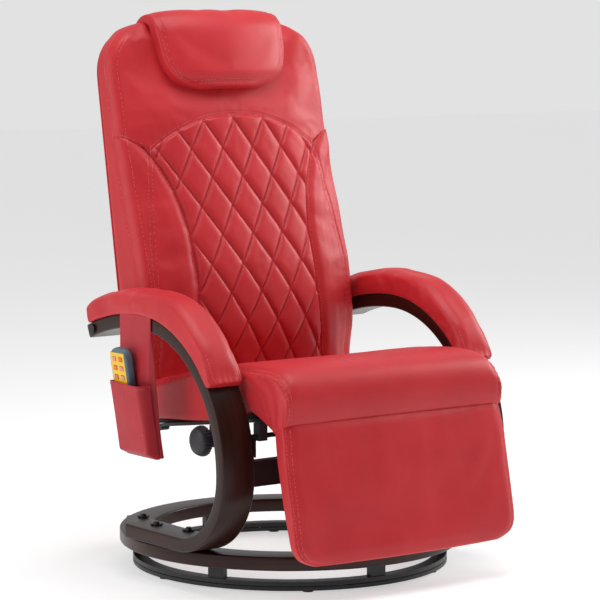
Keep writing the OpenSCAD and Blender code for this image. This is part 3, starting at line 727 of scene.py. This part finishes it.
def cover_detail(u, s, t):
    outer = smooth(t, 0.9, 1.0)
    rim = (1 - np.abs(u)) * HALF
    belt = np.abs(BACK_LOW + s * BACK_H - 0.235)
    return outer * (groove(rim - 0.018, 0.0012, 0.0018) + groove(belt, 0.0018, 0.0022)
                    + valley(belt, 0.0014, 0.008))


# ---- Head pillow -----------------------------------------------------------------------------
PILLOW_HALF = 0.149
PILLOW_PATH = curve_points([(0.006, 0.392), (0.006, 0.440), (0.004, 0.468), (-0.008, 0.481), (-0.026, 0.482),
                            (-0.042, 0.472), (-0.050, 0.440), (-0.055, 0.400), (-0.061, 0.346)], 120)
PILLOW_LEN = 0.27


def path_frame(path, s):
    """Points of a path in the depth-height plane and the normals on its right-hand side."""
    at = along(path, s)
    ahead, behind = along(path, np.minimum(s + 0.02, 1)), along(path, np.maximum(s - 0.02, 0))
    d = ahead - behind
    d = d / np.maximum(np.linalg.norm(d, axis=-1), 1e-9)[:, None]
    return at, np.stack([d[:, 1], -d[:, 0]], -1)


def place_pillow(u, s, t):
    at, out = path_frame(PILLOW_PATH, s)
    half = PILLOW_HALF - 0.006 * smooth(s, 0.5, 0.85)
    drop = np.clip((s - 0.70) / 0.30, 0, 1)
    half = half - 0.078 * (1 - np.sqrt(np.maximum(1 - drop ** 2.2, 0)))
    thick = 0.010 + 0.028 * smooth(s, 0.26, 0.58) - 0.008 * smooth(s, 0.88, 1.0)
    thick = thick * (1 - 0.30 * np.abs(u) ** 3) + 0.004 * (1 - u ** 2) * smooth(s, 0.1, 0.3)
    sink = 0.004 * smooth(s, 0.45, 0.6) * np.abs(u) ** 2
    p = at + out * (t * thick - sink)[:, None]
    return tilted(np.stack([u * half, p[:, 0], p[:, 1]], 1), BACK_AT, BACK_SLOPE)


def pillow_pin(u, s, t):
    edge = np.where(((np.abs(u) > LAST) | (s < FIRST) | (s > LAST)) & (t > LAST), 0.85, 0.0)
    return np.maximum(edge, np.where(t < FIRST, 1.0, 0.0))


def pillow_detail(u, s, t):
    top = smooth(t, 0.9, 1.0)
    side = (1 - np.abs(u)) * PILLOW_HALF
    end = (1 - s) * PILLOW_LEN
    rim = np.minimum(side, end)
    return top * (groove(rim - 0.0060, 0.0010, 0.0014) + groove(rim - 0.0125, 0.0012, 0.0014)
                  + valley(rim - 0.009, 0.0012, 0.006)
                  + 0.0005 * np.exp(-rim / 0.012) * wobble(s * PILLOW_LEN + np.abs(u) * 0.15, 5))


def pillow_stitches(pad):
    side = np.linspace(0.02, 0.94, 90)
    cross = np.linspace(-0.93, 0.93, 90)
    rows = []
    for off in (0.0065, 0.0135):
        u_off, s_off = off / PILLOW_HALF, off / PILLOW_LEN
        for sign in (-1, 1):
            rows.append(pad.on_surface(np.stack([np.full(90, sign * (1 - u_off)), side, np.ones(90)], 1)))
        rows.append(pad.on_surface(np.stack([cross, np.full(90, 1 - s_off), np.ones(90)], 1)))
    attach(stitches("pillow_stitches", rows), "backrest")


# ---- Seat with its knee roll -----------------------------------------------------------------
SEAT_TOP = curve_points([(0.120, 0.352), (0.062, 0.366), (-0.038, 0.394), (-0.140, 0.409), (-0.237, 0.415),
                         (-0.283, 0.412), (-0.311, 0.399), (-0.326, 0.374), (-0.329, 0.346),
                         (-0.326, 0.322)], 200)
SEAT_UNDER = resample(np.array([(0.100, 0.284), (-0.030, 0.294), (-0.146, 0.306), (-0.190, 0.322),
                                (-0.211, 0.334), (-0.250, 0.322), (-0.286, 0.301)]), 120)
SEAT_LEN = 0.54


def place_seat(u, s, t):
    top, under = along(SEAT_TOP, s), along(SEAT_UNDER, s)
    p = under + (top - under) * t[:, None]
    flat = 1 - smooth(s, 0.86, 0.98)
    crown = 0.010 * (1 - np.abs(u) ** 2.5) * t * flat
    dip = 0.010 * smooth(t, 0.5, 1) * smooth(s, 0.04, 0.25) * (1 - smooth(s, 0.35, 0.62)) * (1 - u ** 2)
    rounding = 0.012 * smooth(np.abs(u), 0.91, 1.0) * smooth(t, 0.5, 1.0) * flat
    outside = np.sign(u) * (np.abs(u) > LAST)
    bulge = 0.004 * np.sin(math.pi * np.clip(t, 0, 1)) * smooth(s, 0.55, 0.8) * outside
    return np.stack([u * (HALF - 0.003) + bulge, p[:, 0], p[:, 1] + crown - dip - rounding], 1)


def seat_pin(u, s, t):
    hidden = np.where((t < FIRST) | (s < FIRST), 1.0, 0.0)
    fold = np.where((s > LAST), 0.95, 0.0)
    edge = np.where((np.abs(u) > LAST) & (t > LAST), 0.88, 0.0)
    return np.maximum.reduce([hidden, fold, edge])


def seat_detail(u, s, t):
    side_face = np.where(np.abs(u) > 0.985, 1.0, 0.0)
    top = smooth(t, 0.9, 1.0)
    rim = (1 - np.abs(u)) * HALF
    h = top * edge_seams(rim)
    gather = smooth(s, 0.60, 0.72) * (1 - smooth(s, 0.82, 0.92))
    from_edge = np.where(side_face > 0, (1 - t) * 0.075, rim)
    h = h + (top + side_face) * gather * 0.0010 * np.exp(-from_edge / 0.010) * wobble(s * SEAT_LEN, 11, 0.008)
    h = h + side_face * 0.0016 * wobble(s * SEAT_LEN + 0.25 * t, 14, 0.09) * smooth(s, 0.45, 0.7)
    h = h + top * 0.0016 * wobble(s * SEAT_LEN + 0.03 * u, 17, 0.16) * smooth(s, 0.3, 0.5)
    return h + top * 0.0004 * np.exp(-rim / 0.010) * wobble(s * SEAT_LEN, 4)


def seat_stitches(pad):
    thread = stitches("seat_stitches", edge_rows(pad, HALF, np.linspace(0.02, 0.985, 220)))
    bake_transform(thread)


# ---- Footrest --------------------------------------------------------------------------------
FOOT_HALF = 0.253
FOOT_SIZE = 0.262
FOOT_CORNER = 0.042


def place_footrest(u, s, t):
    z = 0.006 - s * (FOOT_LEN + 0.006)
    low = np.clip(-(z + FOOT_LEN - FOOT_CORNER), 0, FOOT_CORNER)
    half = FOOT_HALF - FOOT_CORNER + np.sqrt(np.maximum(FOOT_CORNER ** 2 - low ** 2, 0))
    half = half - 0.003 * (1 - smooth(s, 0.0, 0.3)) + 0.0025 * np.sin(math.pi * s)
    thick = np.interp(-z, [-0.006, 0.010, 0.060, 0.150, 0.240, 0.257],
                      [0.017, 0.021, 0.021, 0.018, 0.013, 0.009])
    crown = 0.006 * (1 - np.abs(u) ** 2.2) * smooth(t, 0.5, 1.0) * smooth(s, 0.0, 0.12)
    thin = 1 - 0.35 * smooth(np.abs(u), 0.93, 1.0)
    x = u * half
    y = thick * thin * (1 - 2 * t) - crown
    z = z - 0.003 * (1 - u ** 2) * smooth(s, 0.9, 1.0)
    return tilted(np.stack([x, y, z], 1), HINGE, FOOT_SLOPE)


def footrest_pin(u, s, t):
    hidden = np.where((t < FIRST), 1.0, 0.0)
    top = np.where(s < 0.02, 1.0, 0.0)
    edge = np.where(((np.abs(u) > LAST) | (s > LAST)) & (t > LAST), 0.88, 0.0)
    return np.maximum.reduce([hidden, top, edge])


def footrest_detail(u, s, t):
    face = smooth(t, 0.9, 1.0)
    rim = (1 - np.abs(u)) * FOOT_HALF
    h = face * edge_seams(rim)
    h = h + face * 0.0014 * wobble(s * FOOT_SIZE + 0.06 * u, 19, 0.14) * smooth(s, 0.05, 0.2)
    return h + face * 0.0004 * np.exp(-rim / 0.010) * wobble(s * FOOT_SIZE, 8)


def footrest_stitches(pad):
    rows = edge_rows(pad, FOOT_HALF, np.linspace(0.06, 0.96, 120))
    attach(stitches("footrest_stitches", rows), "footrest")


# ---- Arm pads --------------------------------------------------------------------------------
PAD_FRONT_ANGLE = math.radians(144.6)
PAD_FULL_ANGLE = math.radians(102)
PAD_T = 0.049
PAD_HALF = (ARM_OUT - ARM_IN) / 2 + 0.0045
ARM_MID = (ARM_IN + ARM_OUT) / 2
TIP_TRIM = math.radians(1)                     # the pad ends a little before the arm's tip
SIDE_NAME = {1: "left", -1: "right"}


def front_arc(r, angles):
    return [(FRONT_CY + r * math.cos(a), FRONT_CZ + r * math.sin(a)) for a in angles]


def rear_arc(r, angles):
    return [(FRONT_CY + r * math.sin(a), REAR_CZ + r * math.cos(a)) for a in angles]


def arm_top_path():
    return np.array(front_arc(FRONT_R, np.linspace(PAD_FRONT_ANGLE, math.pi / 2, 90))
                    + rear_arc(REAR_R, np.linspace(0.002, TIP_ANGLE - TIP_TRIM, 60)))


ARM_TOP = resample(arm_top_path(), 200)
ARM_LEN = float(np.linalg.norm(np.diff(ARM_TOP, axis=0), axis=1).sum())
FRONT_SHARE = FRONT_R * (PAD_FRONT_ANGLE - math.pi / 2) / ARM_LEN
FULL_SHARE = FRONT_R * (PAD_FRONT_ANGLE - PAD_FULL_ANGLE) / ARM_LEN


def pad_thickness(s):
    grown = np.clip(s / FULL_SHARE, 0, 1)
    back = np.clip((s - FRONT_SHARE) / (1 - FRONT_SHARE), 0, 1)
    return 0.018 + (PAD_T - 0.018) * np.sin(grown * math.pi / 2) - 0.004 * back ** 2


def place_arm_pad(sign):
    def place(u, s, t):
        at, inward = path_frame(ARM_TOP, s)
        thick = pad_thickness(s) - 0.002
        thick = thick * (1 - 0.20 * np.clip((np.abs(u) - 0.35) / 0.65, 0, 1) ** 2)
        thick = thick * (1 - 0.16 * smooth(s, 0.965, 1.0))
        p = at - inward * (t * thick)[:, None]
        x = sign * ARM_MID + u * (PAD_HALF - 0.0025 * smooth(t, 0.4, 1.0) - 0.002 * smooth(0.02 - s, 0, 0.02))
        return np.stack([x, p[:, 0], p[:, 1]], 1)
    return place


def arm_pad_pin(u, s, t):
    under = np.where(t < FIRST, 1.0, 0.0)
    end = np.where(((s < FIRST) | (s > LAST)), 0.9, 0.0)
    return np.maximum(under, end)


def arm_pad_detail(u, s, t):
    side = np.where(np.abs(u) > 0.97, 1.0, 0.0)
    low = t * pad_thickness(s)
    h = side * groove(low - 0.004, 0.0006, 0.0016)
    from_front = s * ARM_LEN
    cap = smooth(t, 0.6, 1.0) * (1 - smooth(from_front, 0.03, 0.07))
    h = h + cap * groove(np.abs(u) * PAD_HALF - (PAD_HALF - 0.006), 0.0012, 0.0016)
    h = h + 0.0007 * np.exp(-from_front / 0.012) * wobble(u * 0.035 + t * 0.02, 9, 0.012)
    return h + smooth(t, 0.6, 1.0) * 0.0010 * wobble(from_front + 0.02 * u, 23, 0.12)


def arm_pad_stitches(pad, sign):
    s = np.linspace(0.012, 0.13, 24)
    rows = [pad.on_surface(np.stack([np.full(24, side * (1 - 0.010 / PAD_HALF)), s, np.ones(24)], 1))
            for side in (-1, 1)]
    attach(stitches("arm_pad_stitches_" + SIDE_NAME[sign], rows), "frame")


# ---- Bent wood -------------------------------------------------------------------------------
CUT_LENGTH, CUT_WIDTH = 0.066, 0.048           # the cut corner of each arm's foot


def rounded_section(half_a, half_b, r, n=4):
    """Outline of a rounded rectangle, with its corners as arcs."""
    pts = []
    for ca, cb, start in ((1, 1, 0), (-1, 1, 90), (-1, -1, 180), (1, -1, 270)):
        for i in range(n + 1):
            a = math.radians(start + 90 * i / n)
            pts.append((ca * (half_a - r) + r * math.cos(a), cb * (half_b - r) + r * math.sin(a)))
    return np.array(pts)


def sweep_wood(name, centre, side, normal, section, closed=False):
    """Sweeps a section along a path; its grain coordinates are metres along and around."""
    n, m = len(centre), len(section)
    co = (centre[:, None, :] + side[:, None, :] * section[None, :, 0, None]
          + normal[:, None, :] * section[None, :, 1, None])
    faces = []
    last = n if closed else n - 1
    for i in range(last):
        for k in range(m):
            a, b = i * m + k, i * m + (k + 1) % m
            c, d = ((i + 1) % n) * m + (k + 1) % m, ((i + 1) % n) * m + k
            faces.append([a, b, c, d])
    if not closed:
        faces.append(list(range(m - 1, -1, -1)))
        faces.append([(n - 1) * m + k for k in range(m)])
    obj = mesh_object(name, co.reshape(-1, 3), faces, M["wood"])
    length = np.concatenate([[0], np.cumsum(np.linalg.norm(np.diff(centre, axis=0), axis=1))])
    length = np.append(length, length[-1] + np.linalg.norm(centre[0] - centre[-1]))
    outline = np.vstack([section, section[:1]])
    around = np.concatenate([[0], np.cumsum(np.linalg.norm(np.diff(outline, axis=0), axis=1))])
    uv = obj.data.uv_layers.new(name="UVMap")
    for poly in obj.data.polygons:
        if len(poly.vertices) > 4:
            for li in poly.loop_indices:
                k = obj.data.loops[li].vertex_index % m
                uv.data[li].uv = (section[k, 0] * 0.2, section[k, 1] + 0.3)
            continue
        i, k = divmod(poly.index, m)
        for li, (di, dk) in zip(poly.loop_indices, ((0, 0), (0, 1), (1, 1), (1, 0))):
            uv.data[li].uv = (length[i + di], around[k + dk])
    outward(obj)
    return obj


def arm_centre_line():
    half = WOOD_T / 2
    foot = [(y, FOOT_Z + half) for y in np.linspace(FOOT_REAR_Y, FOOT_FRONT_Y, 60, endpoint=False)]
    r = BEND_R - half
    bend = [(FOOT_FRONT_Y + r * math.cos(a), BEND_CZ + r * math.sin(a))
            for a in np.linspace(-math.pi / 2, -math.pi, 48)]
    front = front_arc(FRONT_R - half, np.linspace(math.pi, math.pi / 2, 72))
    rear = rear_arc(REAR_R - half, np.linspace(0.01, TIP_ANGLE, 30))
    return np.array(foot + bend + front + rear)


def make_arm(sign):
    path = arm_centre_line()
    d = np.gradient(path, axis=0)
    d /= np.linalg.norm(d, axis=1)[:, None]
    n = len(path)
    centre = np.stack([np.full(n, sign * ARM_MID), path[:, 0], path[:, 1]], 1)
    normal = np.stack([np.zeros(n), -d[:, 1], d[:, 0]], 1)
    side = np.tile([1.0, 0, 0], (n, 1))
    section = rounded_section((ARM_OUT - ARM_IN) / 2, WOOD_T / 2, 0.0035)
    arm = sweep_wood("bent_arm_" + SIDE_NAME[sign], centre, side, normal, section)
    for v in arm.data.vertices:                # the foot's outer rear corner is cut off
        if v.co.z < FOOT_Z + WOOD_T + 0.001 and v.co.y > FOOT_REAR_Y - CUT_LENGTH:
            limit = ARM_OUT - CUT_WIDTH * (v.co.y - FOOT_REAR_Y + CUT_LENGTH) / CUT_LENGTH
            v.co.x = sign * min(abs(v.co.x), limit)
    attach(arm, "frame")
    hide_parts("arm_frame_" + SIDE_NAME[sign])


def make_wooden_ring():
    lo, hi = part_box("wooden_ring")
    outer, inner = hi.x, 0.2645
    mid = (outer + inner) / 2
    n = 160
    a = np.linspace(0, 2 * math.pi, n, endpoint=False)
    side = np.stack([np.cos(a), np.sin(a), np.zeros(n)], 1)
    centre = side * mid + np.array([0, 0, (lo.z + hi.z) / 2])
    normal = np.tile([0, 0, 1.0], (n, 1))
    ring = sweep_wood("wood_ring", centre, side, normal,
                      rounded_section((outer - inner) / 2, (hi.z - lo.z) / 2, 0.004), closed=True)
    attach(ring, "frame")
    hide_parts("wooden_ring")


# ---- Remote pocket ---------------------------------------------------------------------------
POCKET_X, POCKET_MOUTH, POCKET_LOW = -ARM_OUT - 0.001, 0.367, 0.227
POCKET_Y, POCKET_W = -0.019, 0.101
POCKET_LEAN = math.radians(9)


def leaning(p):
    """Leans points in below the pocket's mouth."""
    p = np.asarray(p, float)
    c, s = math.cos(POCKET_LEAN), math.sin(POCKET_LEAN)
    x, z = p[:, 0] - POCKET_X, p[:, 2] - POCKET_MOUTH
    return np.stack([POCKET_X + x * c - z * s, p[:, 1], POCKET_MOUTH + x * s + z * c], 1)


def lean_shift(z):
    """How far in the pouch hangs at this height."""
    return np.maximum(POCKET_MOUTH - z, 0) * math.tan(POCKET_LEAN)


def place_strap(u, s, t):
    """The band over the arm: flat outside, with a folded gusset along its front edge."""
    z = POCKET_LOW + 0.001 + s * (0.492 - POCKET_LOW)
    below = smooth(-z, -0.49, -POCKET_MOUTH)
    front_in = 0.011 * below * t * (z > 0)
    y = POCKET_Y + (u + 1) / 2 * POCKET_W
    y = y + front_in * smooth(-u, 0.2, 1.0) * (1 - smooth(-z, -POCKET_MOUTH, -POCKET_LOW))
    depth = 0.0022 + 0.0115 * below * (1 - 0.5 * smooth(-z, -POCKET_MOUTH, -POCKET_LOW))
    x_out = POCKET_X - 0.0022 + lean_shift(z)
    ripple = 0.0009 * np.sin(4 * u + 9 * s) * below
    return np.stack([x_out + (1 - t) * depth + ripple, y, z], 1)


def place_pouch(u, s, t):
    """A sheet that wraps around the remote, sewn flat to the strap at its foot."""
    z = POCKET_LOW + s * (POCKET_MOUTH - POCKET_LOW)
    wrap = np.clip((1 - np.abs(u)) / 0.16, 0, 1)
    full = 0.0245 * (0.30 + 0.70 * smooth(s, 0.0, 0.09))
    depth = 0.0012 + full * np.sin(wrap * math.pi / 2) ** 0.7
    half = POCKET_W / 2 - 0.0045 * wrap
    across = np.sign(u) * np.minimum(np.abs(u) / 0.86, 1) * half
    front = np.where(u < 0, 0.006 * s * wrap, 0)
    y = POCKET_Y + POCKET_W / 2 + across + front
    slack = 0.0022 * np.sin(math.pi * s) * np.cos(2.2 * u)
    x = POCKET_X - 0.0026 + lean_shift(z) - depth - slack * wrap + 0.0016 * (1 - t)
    return np.stack([x, y, z + 0.002 * wrap * u * s], 1)


def pocket_piece(name, place, cells):
    params, faces = block_cells(*cells)
    obj = mesh_object(name, place(*params.T), faces, M["pocket"])
    outward(obj)
    mod = obj.modifiers.new("finer", "SUBSURF")
    mod.levels = mod.render_levels = 1
    mesh = evaluated(obj)
    obj.modifiers.clear()
    obj.data = mesh
    dress(mesh, "pocket")
    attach(obj, "frame")
    return obj


def make_pocket():
    strap = pocket_piece("pocket_strap", place_strap, (20, 60, 3))
    pocket_piece("pocket_pouch", place_pouch, (50, 36, 1))
    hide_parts("remote_pocket")

    def row(place, u, s):
        n = len(u)
        p = place(u, s, np.ones(n))
        du = place(u + 0.004, s, np.ones(n)) - p
        ds = place(u, s + 0.004, np.ones(n)) - p
        out = np.cross(du, ds)
        out *= np.where(out[:, 0] > 0, -1, 1)[:, None]
        return p, out / np.linalg.norm(out, axis=1)[:, None]

    hem = np.linspace(-0.97, 0.97, 60)
    up = np.linspace(0.03, 0.97, 50)
    rows = [row(place_pouch, hem, np.full(60, 0.955)), row(place_pouch, hem * 0.88, np.full(60, 0.03))]
    rows += [row(place_pouch, np.full(50, u), up) for u in (-0.80, 0.80)]
    rows.append(row(place_strap, np.full(50, 0.93), np.linspace(0.55, 0.95, 50)))
    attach(stitches("pocket_stitches", rows), "frame")


# ---- Remote control --------------------------------------------------------------------------
REMOTE_X, REMOTE_Y, REMOTE_Z = POCKET_X - 0.0042, 0.022, POCKET_LOW + 0.007
REMOTE_T, REMOTE_W, REMOTE_L = 0.018, 0.054, 0.200
WINDOW_LOW, WINDOW_H = REMOTE_L - 0.066, 0.058


def make_remote():
    """A soft-edged shell with a window for the face plate and its keys."""
    r_in = 0.0055
    rings = []
    half_w = REMOTE_W / 2

    def ring(depth, inset, window=False):
        if window:
            o = rounded_section(half_w - 0.0055 - inset, WINDOW_H / 2 - inset, 0.010, 10)
            o = o + (half_w, WINDOW_LOW + WINDOW_H / 2)
        else:
            o = rounded_section(half_w - inset, REMOTE_L / 2 - inset, 0.021 - inset, 10)
            o = o + (half_w, REMOTE_L / 2)
        p = np.stack([np.full(len(o), REMOTE_X - depth), REMOTE_Y + o[:, 0], REMOTE_Z + o[:, 1]], 1)
        rings.append(leaning(p))

    ring(0, 0.0075)
    for k in range(6):                          # rounded back edge, then rounded front edge
        a = math.radians(90 * k / 5)
        ring(r_in * (1 - math.cos(a)), r_in * (1 - math.sin(a)))
    for k in range(6):
        a = math.radians(90 - 90 * k / 5)
        ring(REMOTE_T - r_in * (1 - math.cos(a)), r_in * (1 - math.sin(a)))
    ring(REMOTE_T - 0.0002, -0.0006, True)
    ring(REMOTE_T - 0.0018, 0, True)
    n = len(rings[0])
    co = np.vstack(rings)
    faces = [[i * n + j, i * n + (j + 1) % n, (i + 1) * n + (j + 1) % n, (i + 1) * n + j]
             for i in range(len(rings) - 1) for j in range(n)]
    faces.append(list(range(n)))
    faces.append([(len(rings) - 1) * n + j for j in range(n - 1, -1, -1)])
    shell = mesh_object("remote_shell", co, faces, M["remote"])
    outward(shell)
    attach(shell, "remote")
    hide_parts("remote_housing")


# ---- Recline knob ----------------------------------------------------------------------------
def make_knob():
    """Domed outside, with ribs around its rim and a collar towards the arm."""
    lo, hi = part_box("recline_knob")
    y, z, r = (lo.y + hi.y) / 2, (lo.z + hi.z) / 2, (hi.z - lo.z) / 2
    depth = hi.x - lo.x
    profile = [(0.0, 0.0), (0.0002, 0.30), (0.0010, 0.52), (0.0026, 0.70), (0.0052, 0.84), (0.0085, 0.93),
               (0.0120, 0.975), (0.0160, 1.0), (0.0190, 1.0), (0.0212, 0.985), (0.0225, 0.93), (0.0236, 0.80),
               (0.0250, 0.62), (0.0262, 0.45), (depth, 0.42)]
    n = 168
    a = np.linspace(0, 2 * math.pi, n, endpoint=False)
    rib = 0.030 * np.maximum(np.cos(28 * a), -0.35)
    co = [[lo.x, y, z]]
    for x, share in profile[1:]:
        ribs = rib * smooth(np.array(x), 0.006, 0.012) * (1 - smooth(np.array(x), 0.0205, 0.0228))
        rr = r * (share - 0.030 * (share > 0.9) + ribs)
        co += [[lo.x + x, y + q * math.cos(b), z + q * math.sin(b)] for q, b in zip(rr, a)]
    faces = [[0, 1 + j, 1 + (j + 1) % n] for j in range(n)]
    for i in range(len(profile) - 2):
        base = 1 + i * n
        faces += [[base + j, base + n + j, base + n + (j + 1) % n, base + (j + 1) % n] for j in range(n)]
    faces.append([1 + (len(profile) - 2) * n + j for j in range(n)])
    knob = mesh_object("knob_grip", co, faces, M["plastic"])
    outward(knob)
    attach(knob, "knob")
    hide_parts("recline_knob")


# ---- Camera, light, floor --------------------------------------------------------------------
def stage():
    scene = bpy.context.scene
    cam_data = bpy.data.cameras.new("camera")
    cam_data.lens, cam_data.sensor_width = 171.2, 36
    cam = bpy.data.objects.new("camera", cam_data)
    cam.location = (-3.1986, -4.3203, 1.0974)
    cam.rotation_euler = Vector((0.59424, 0.79666, -0.11045)).to_track_quat("-Z", "Y").to_euler()
    scene.collection.objects.link(cam)
    scene.camera = cam
    reach = 14
    corners = [(reach * x, reach * y, -0.0003) for x, y in ((-1, -1), (1, -1), (1, 1), (-1, 1))]
    floor = mesh_object("floor", corners, [[0, 1, 2, 3]], None, False)
    m, nodes, links, bsdf = new_material("floor")
    tone = noise_node(nodes, links, coordinates(nodes, links, (1, 1, 1)), 0.6, 2)
    pale = ramp(nodes, links, tone, [(0.3, (0.60, 0.60, 0.60)), (0.7, (0.62, 0.62, 0.62))])
    links.new(pale, bsdf.inputs["Base Color"])
    bsdf.inputs["Emission Color"].default_value = (1, 1, 1, 1)
    bsdf.inputs["Emission Strength"].default_value = 0.52
    bsdf.inputs["Roughness"].default_value = 0.8
    bsdf.inputs["Specular IOR Level"].default_value = 0.1
    floor.data.materials.append(m)
    world = bpy.data.worlds.new("world")
    world.use_nodes = True
    nodes, links = world.node_tree.nodes, world.node_tree.links
    background = nodes["Background"]
    background.inputs["Color"].default_value = (1, 1, 1, 1)
    # the studio is dim in front of the chair and bright behind it; the camera sees a plain pale backdrop
    sky = nodes.new("ShaderNodeTexCoord")
    split = nodes.new("ShaderNodeSeparateXYZ")
    links.new(sky.outputs["Generated"], split.inputs["Vector"])
    glow = map_range(nodes, links, split.outputs["Y"], 0.06, 0.62, -1)
    path = nodes.new("ShaderNodeLightPath")
    strength = map_range(nodes, links, path.outputs["Is Camera Ray"], glow, 0.76)
    links.new(strength, background.inputs["Strength"])
    scene.world = world
    for name, at, size, power in (("right", (2.9, -0.6, 1.9), 1.6, 62), ("left", (-3.0, 0.3, 1.5), 2.0, 30),
                                  ("top", (0.0, -0.5, 3.0), 1.8, 44)):
        light = bpy.data.lights.new(name, "AREA")
        light.energy, light.size = power, size
        lamp = bpy.data.objects.new(name, light)
        lamp.location = at
        lamp.rotation_euler = (Vector((0, 0, 0.55)) - Vector(at)).to_track_quat("-Z", "Y").to_euler()
        scene.collection.objects.link(lamp)
    scene.view_settings.view_transform = "Standard"


# ---- Put together ----------------------------------------------------------------------------
CLOTH_FRAMES = 26


def simulate(pads):
    for pad in pads:
        pad.add_cloth()
    scene = bpy.context.scene
    scene.frame_start, scene.frame_end = 1, CLOTH_FRAMES
    for f in range(1, CLOTH_FRAMES + 1):
        scene.frame_set(f)
    for pad in pads:
        pad.read_cloth()


dress_cad_nodes()
back = Pad("back_upholstery", (58, 80, 4), (HALF, BACK_H, 0.08), place_back, back_pin, 0.0050, 0.75)
cover = Pad("back_rear_panel", (30, 40, 1), (HALF, BACK_H, 0.006), place_cover, cover_pin, 0.0035, 0.3,
            slot="back_cover_fabric")
pillow = Pad("pillow_upholstery", (30, 28, 3), (PILLOW_HALF, PILLOW_LEN, 0.026), place_pillow, pillow_pin,
             0.0030, 0.85)
seat = Pad("seat_upholstery", (48, 50, 6), (HALF, SEAT_LEN, 0.09), place_seat, seat_pin, 0.0050, 0.8)
footrest = Pad("footrest_upholstery", (50, 27, 4), (FOOT_HALF, FOOT_SIZE, 0.04), place_footrest,
               footrest_pin, 0.0012, 0.7)
arm_pads = [Pad("arm_pad_upholstery_" + SIDE_NAME[sign], (8, 46, 5), (PAD_HALF, ARM_LEN, 0.045),
                place_arm_pad(sign), arm_pad_pin, 0.0022, 0.8) for sign in (1, -1)]

simulate([back, cover, pillow, seat, footrest, *arm_pads])

back.finish(back_detail, back_snap, back_hidden)
cover.finish(cover_detail)
pillow.finish(pillow_detail)
seat.finish(seat_detail)
footrest.finish(footrest_detail)
for pad in arm_pads:
    pad.finish(arm_pad_detail)

for pad, body, node in ((back, "backrest", "back_cushion"), (cover, "backrest", "back_cover"),
                        (pillow, "backrest", "head_pillow"), (footrest, "footrest", "footrest_cushion")):
    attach(pad.obj, body)
    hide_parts(node)
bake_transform(seat.obj)
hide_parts("seat_cushion")
for pad, sign in zip(arm_pads, (1, -1)):
    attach(pad.obj, "frame")
    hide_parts("arm_pad_" + SIDE_NAME[sign])
    arm_pad_stitches(pad, sign)
    make_arm(sign)

back_stitches(back)
pillow_stitches(pillow)
seat_stitches(seat)
footrest_stitches(footrest)
make_wooden_ring()
make_pocket()
make_remote()
make_knob()
stage()
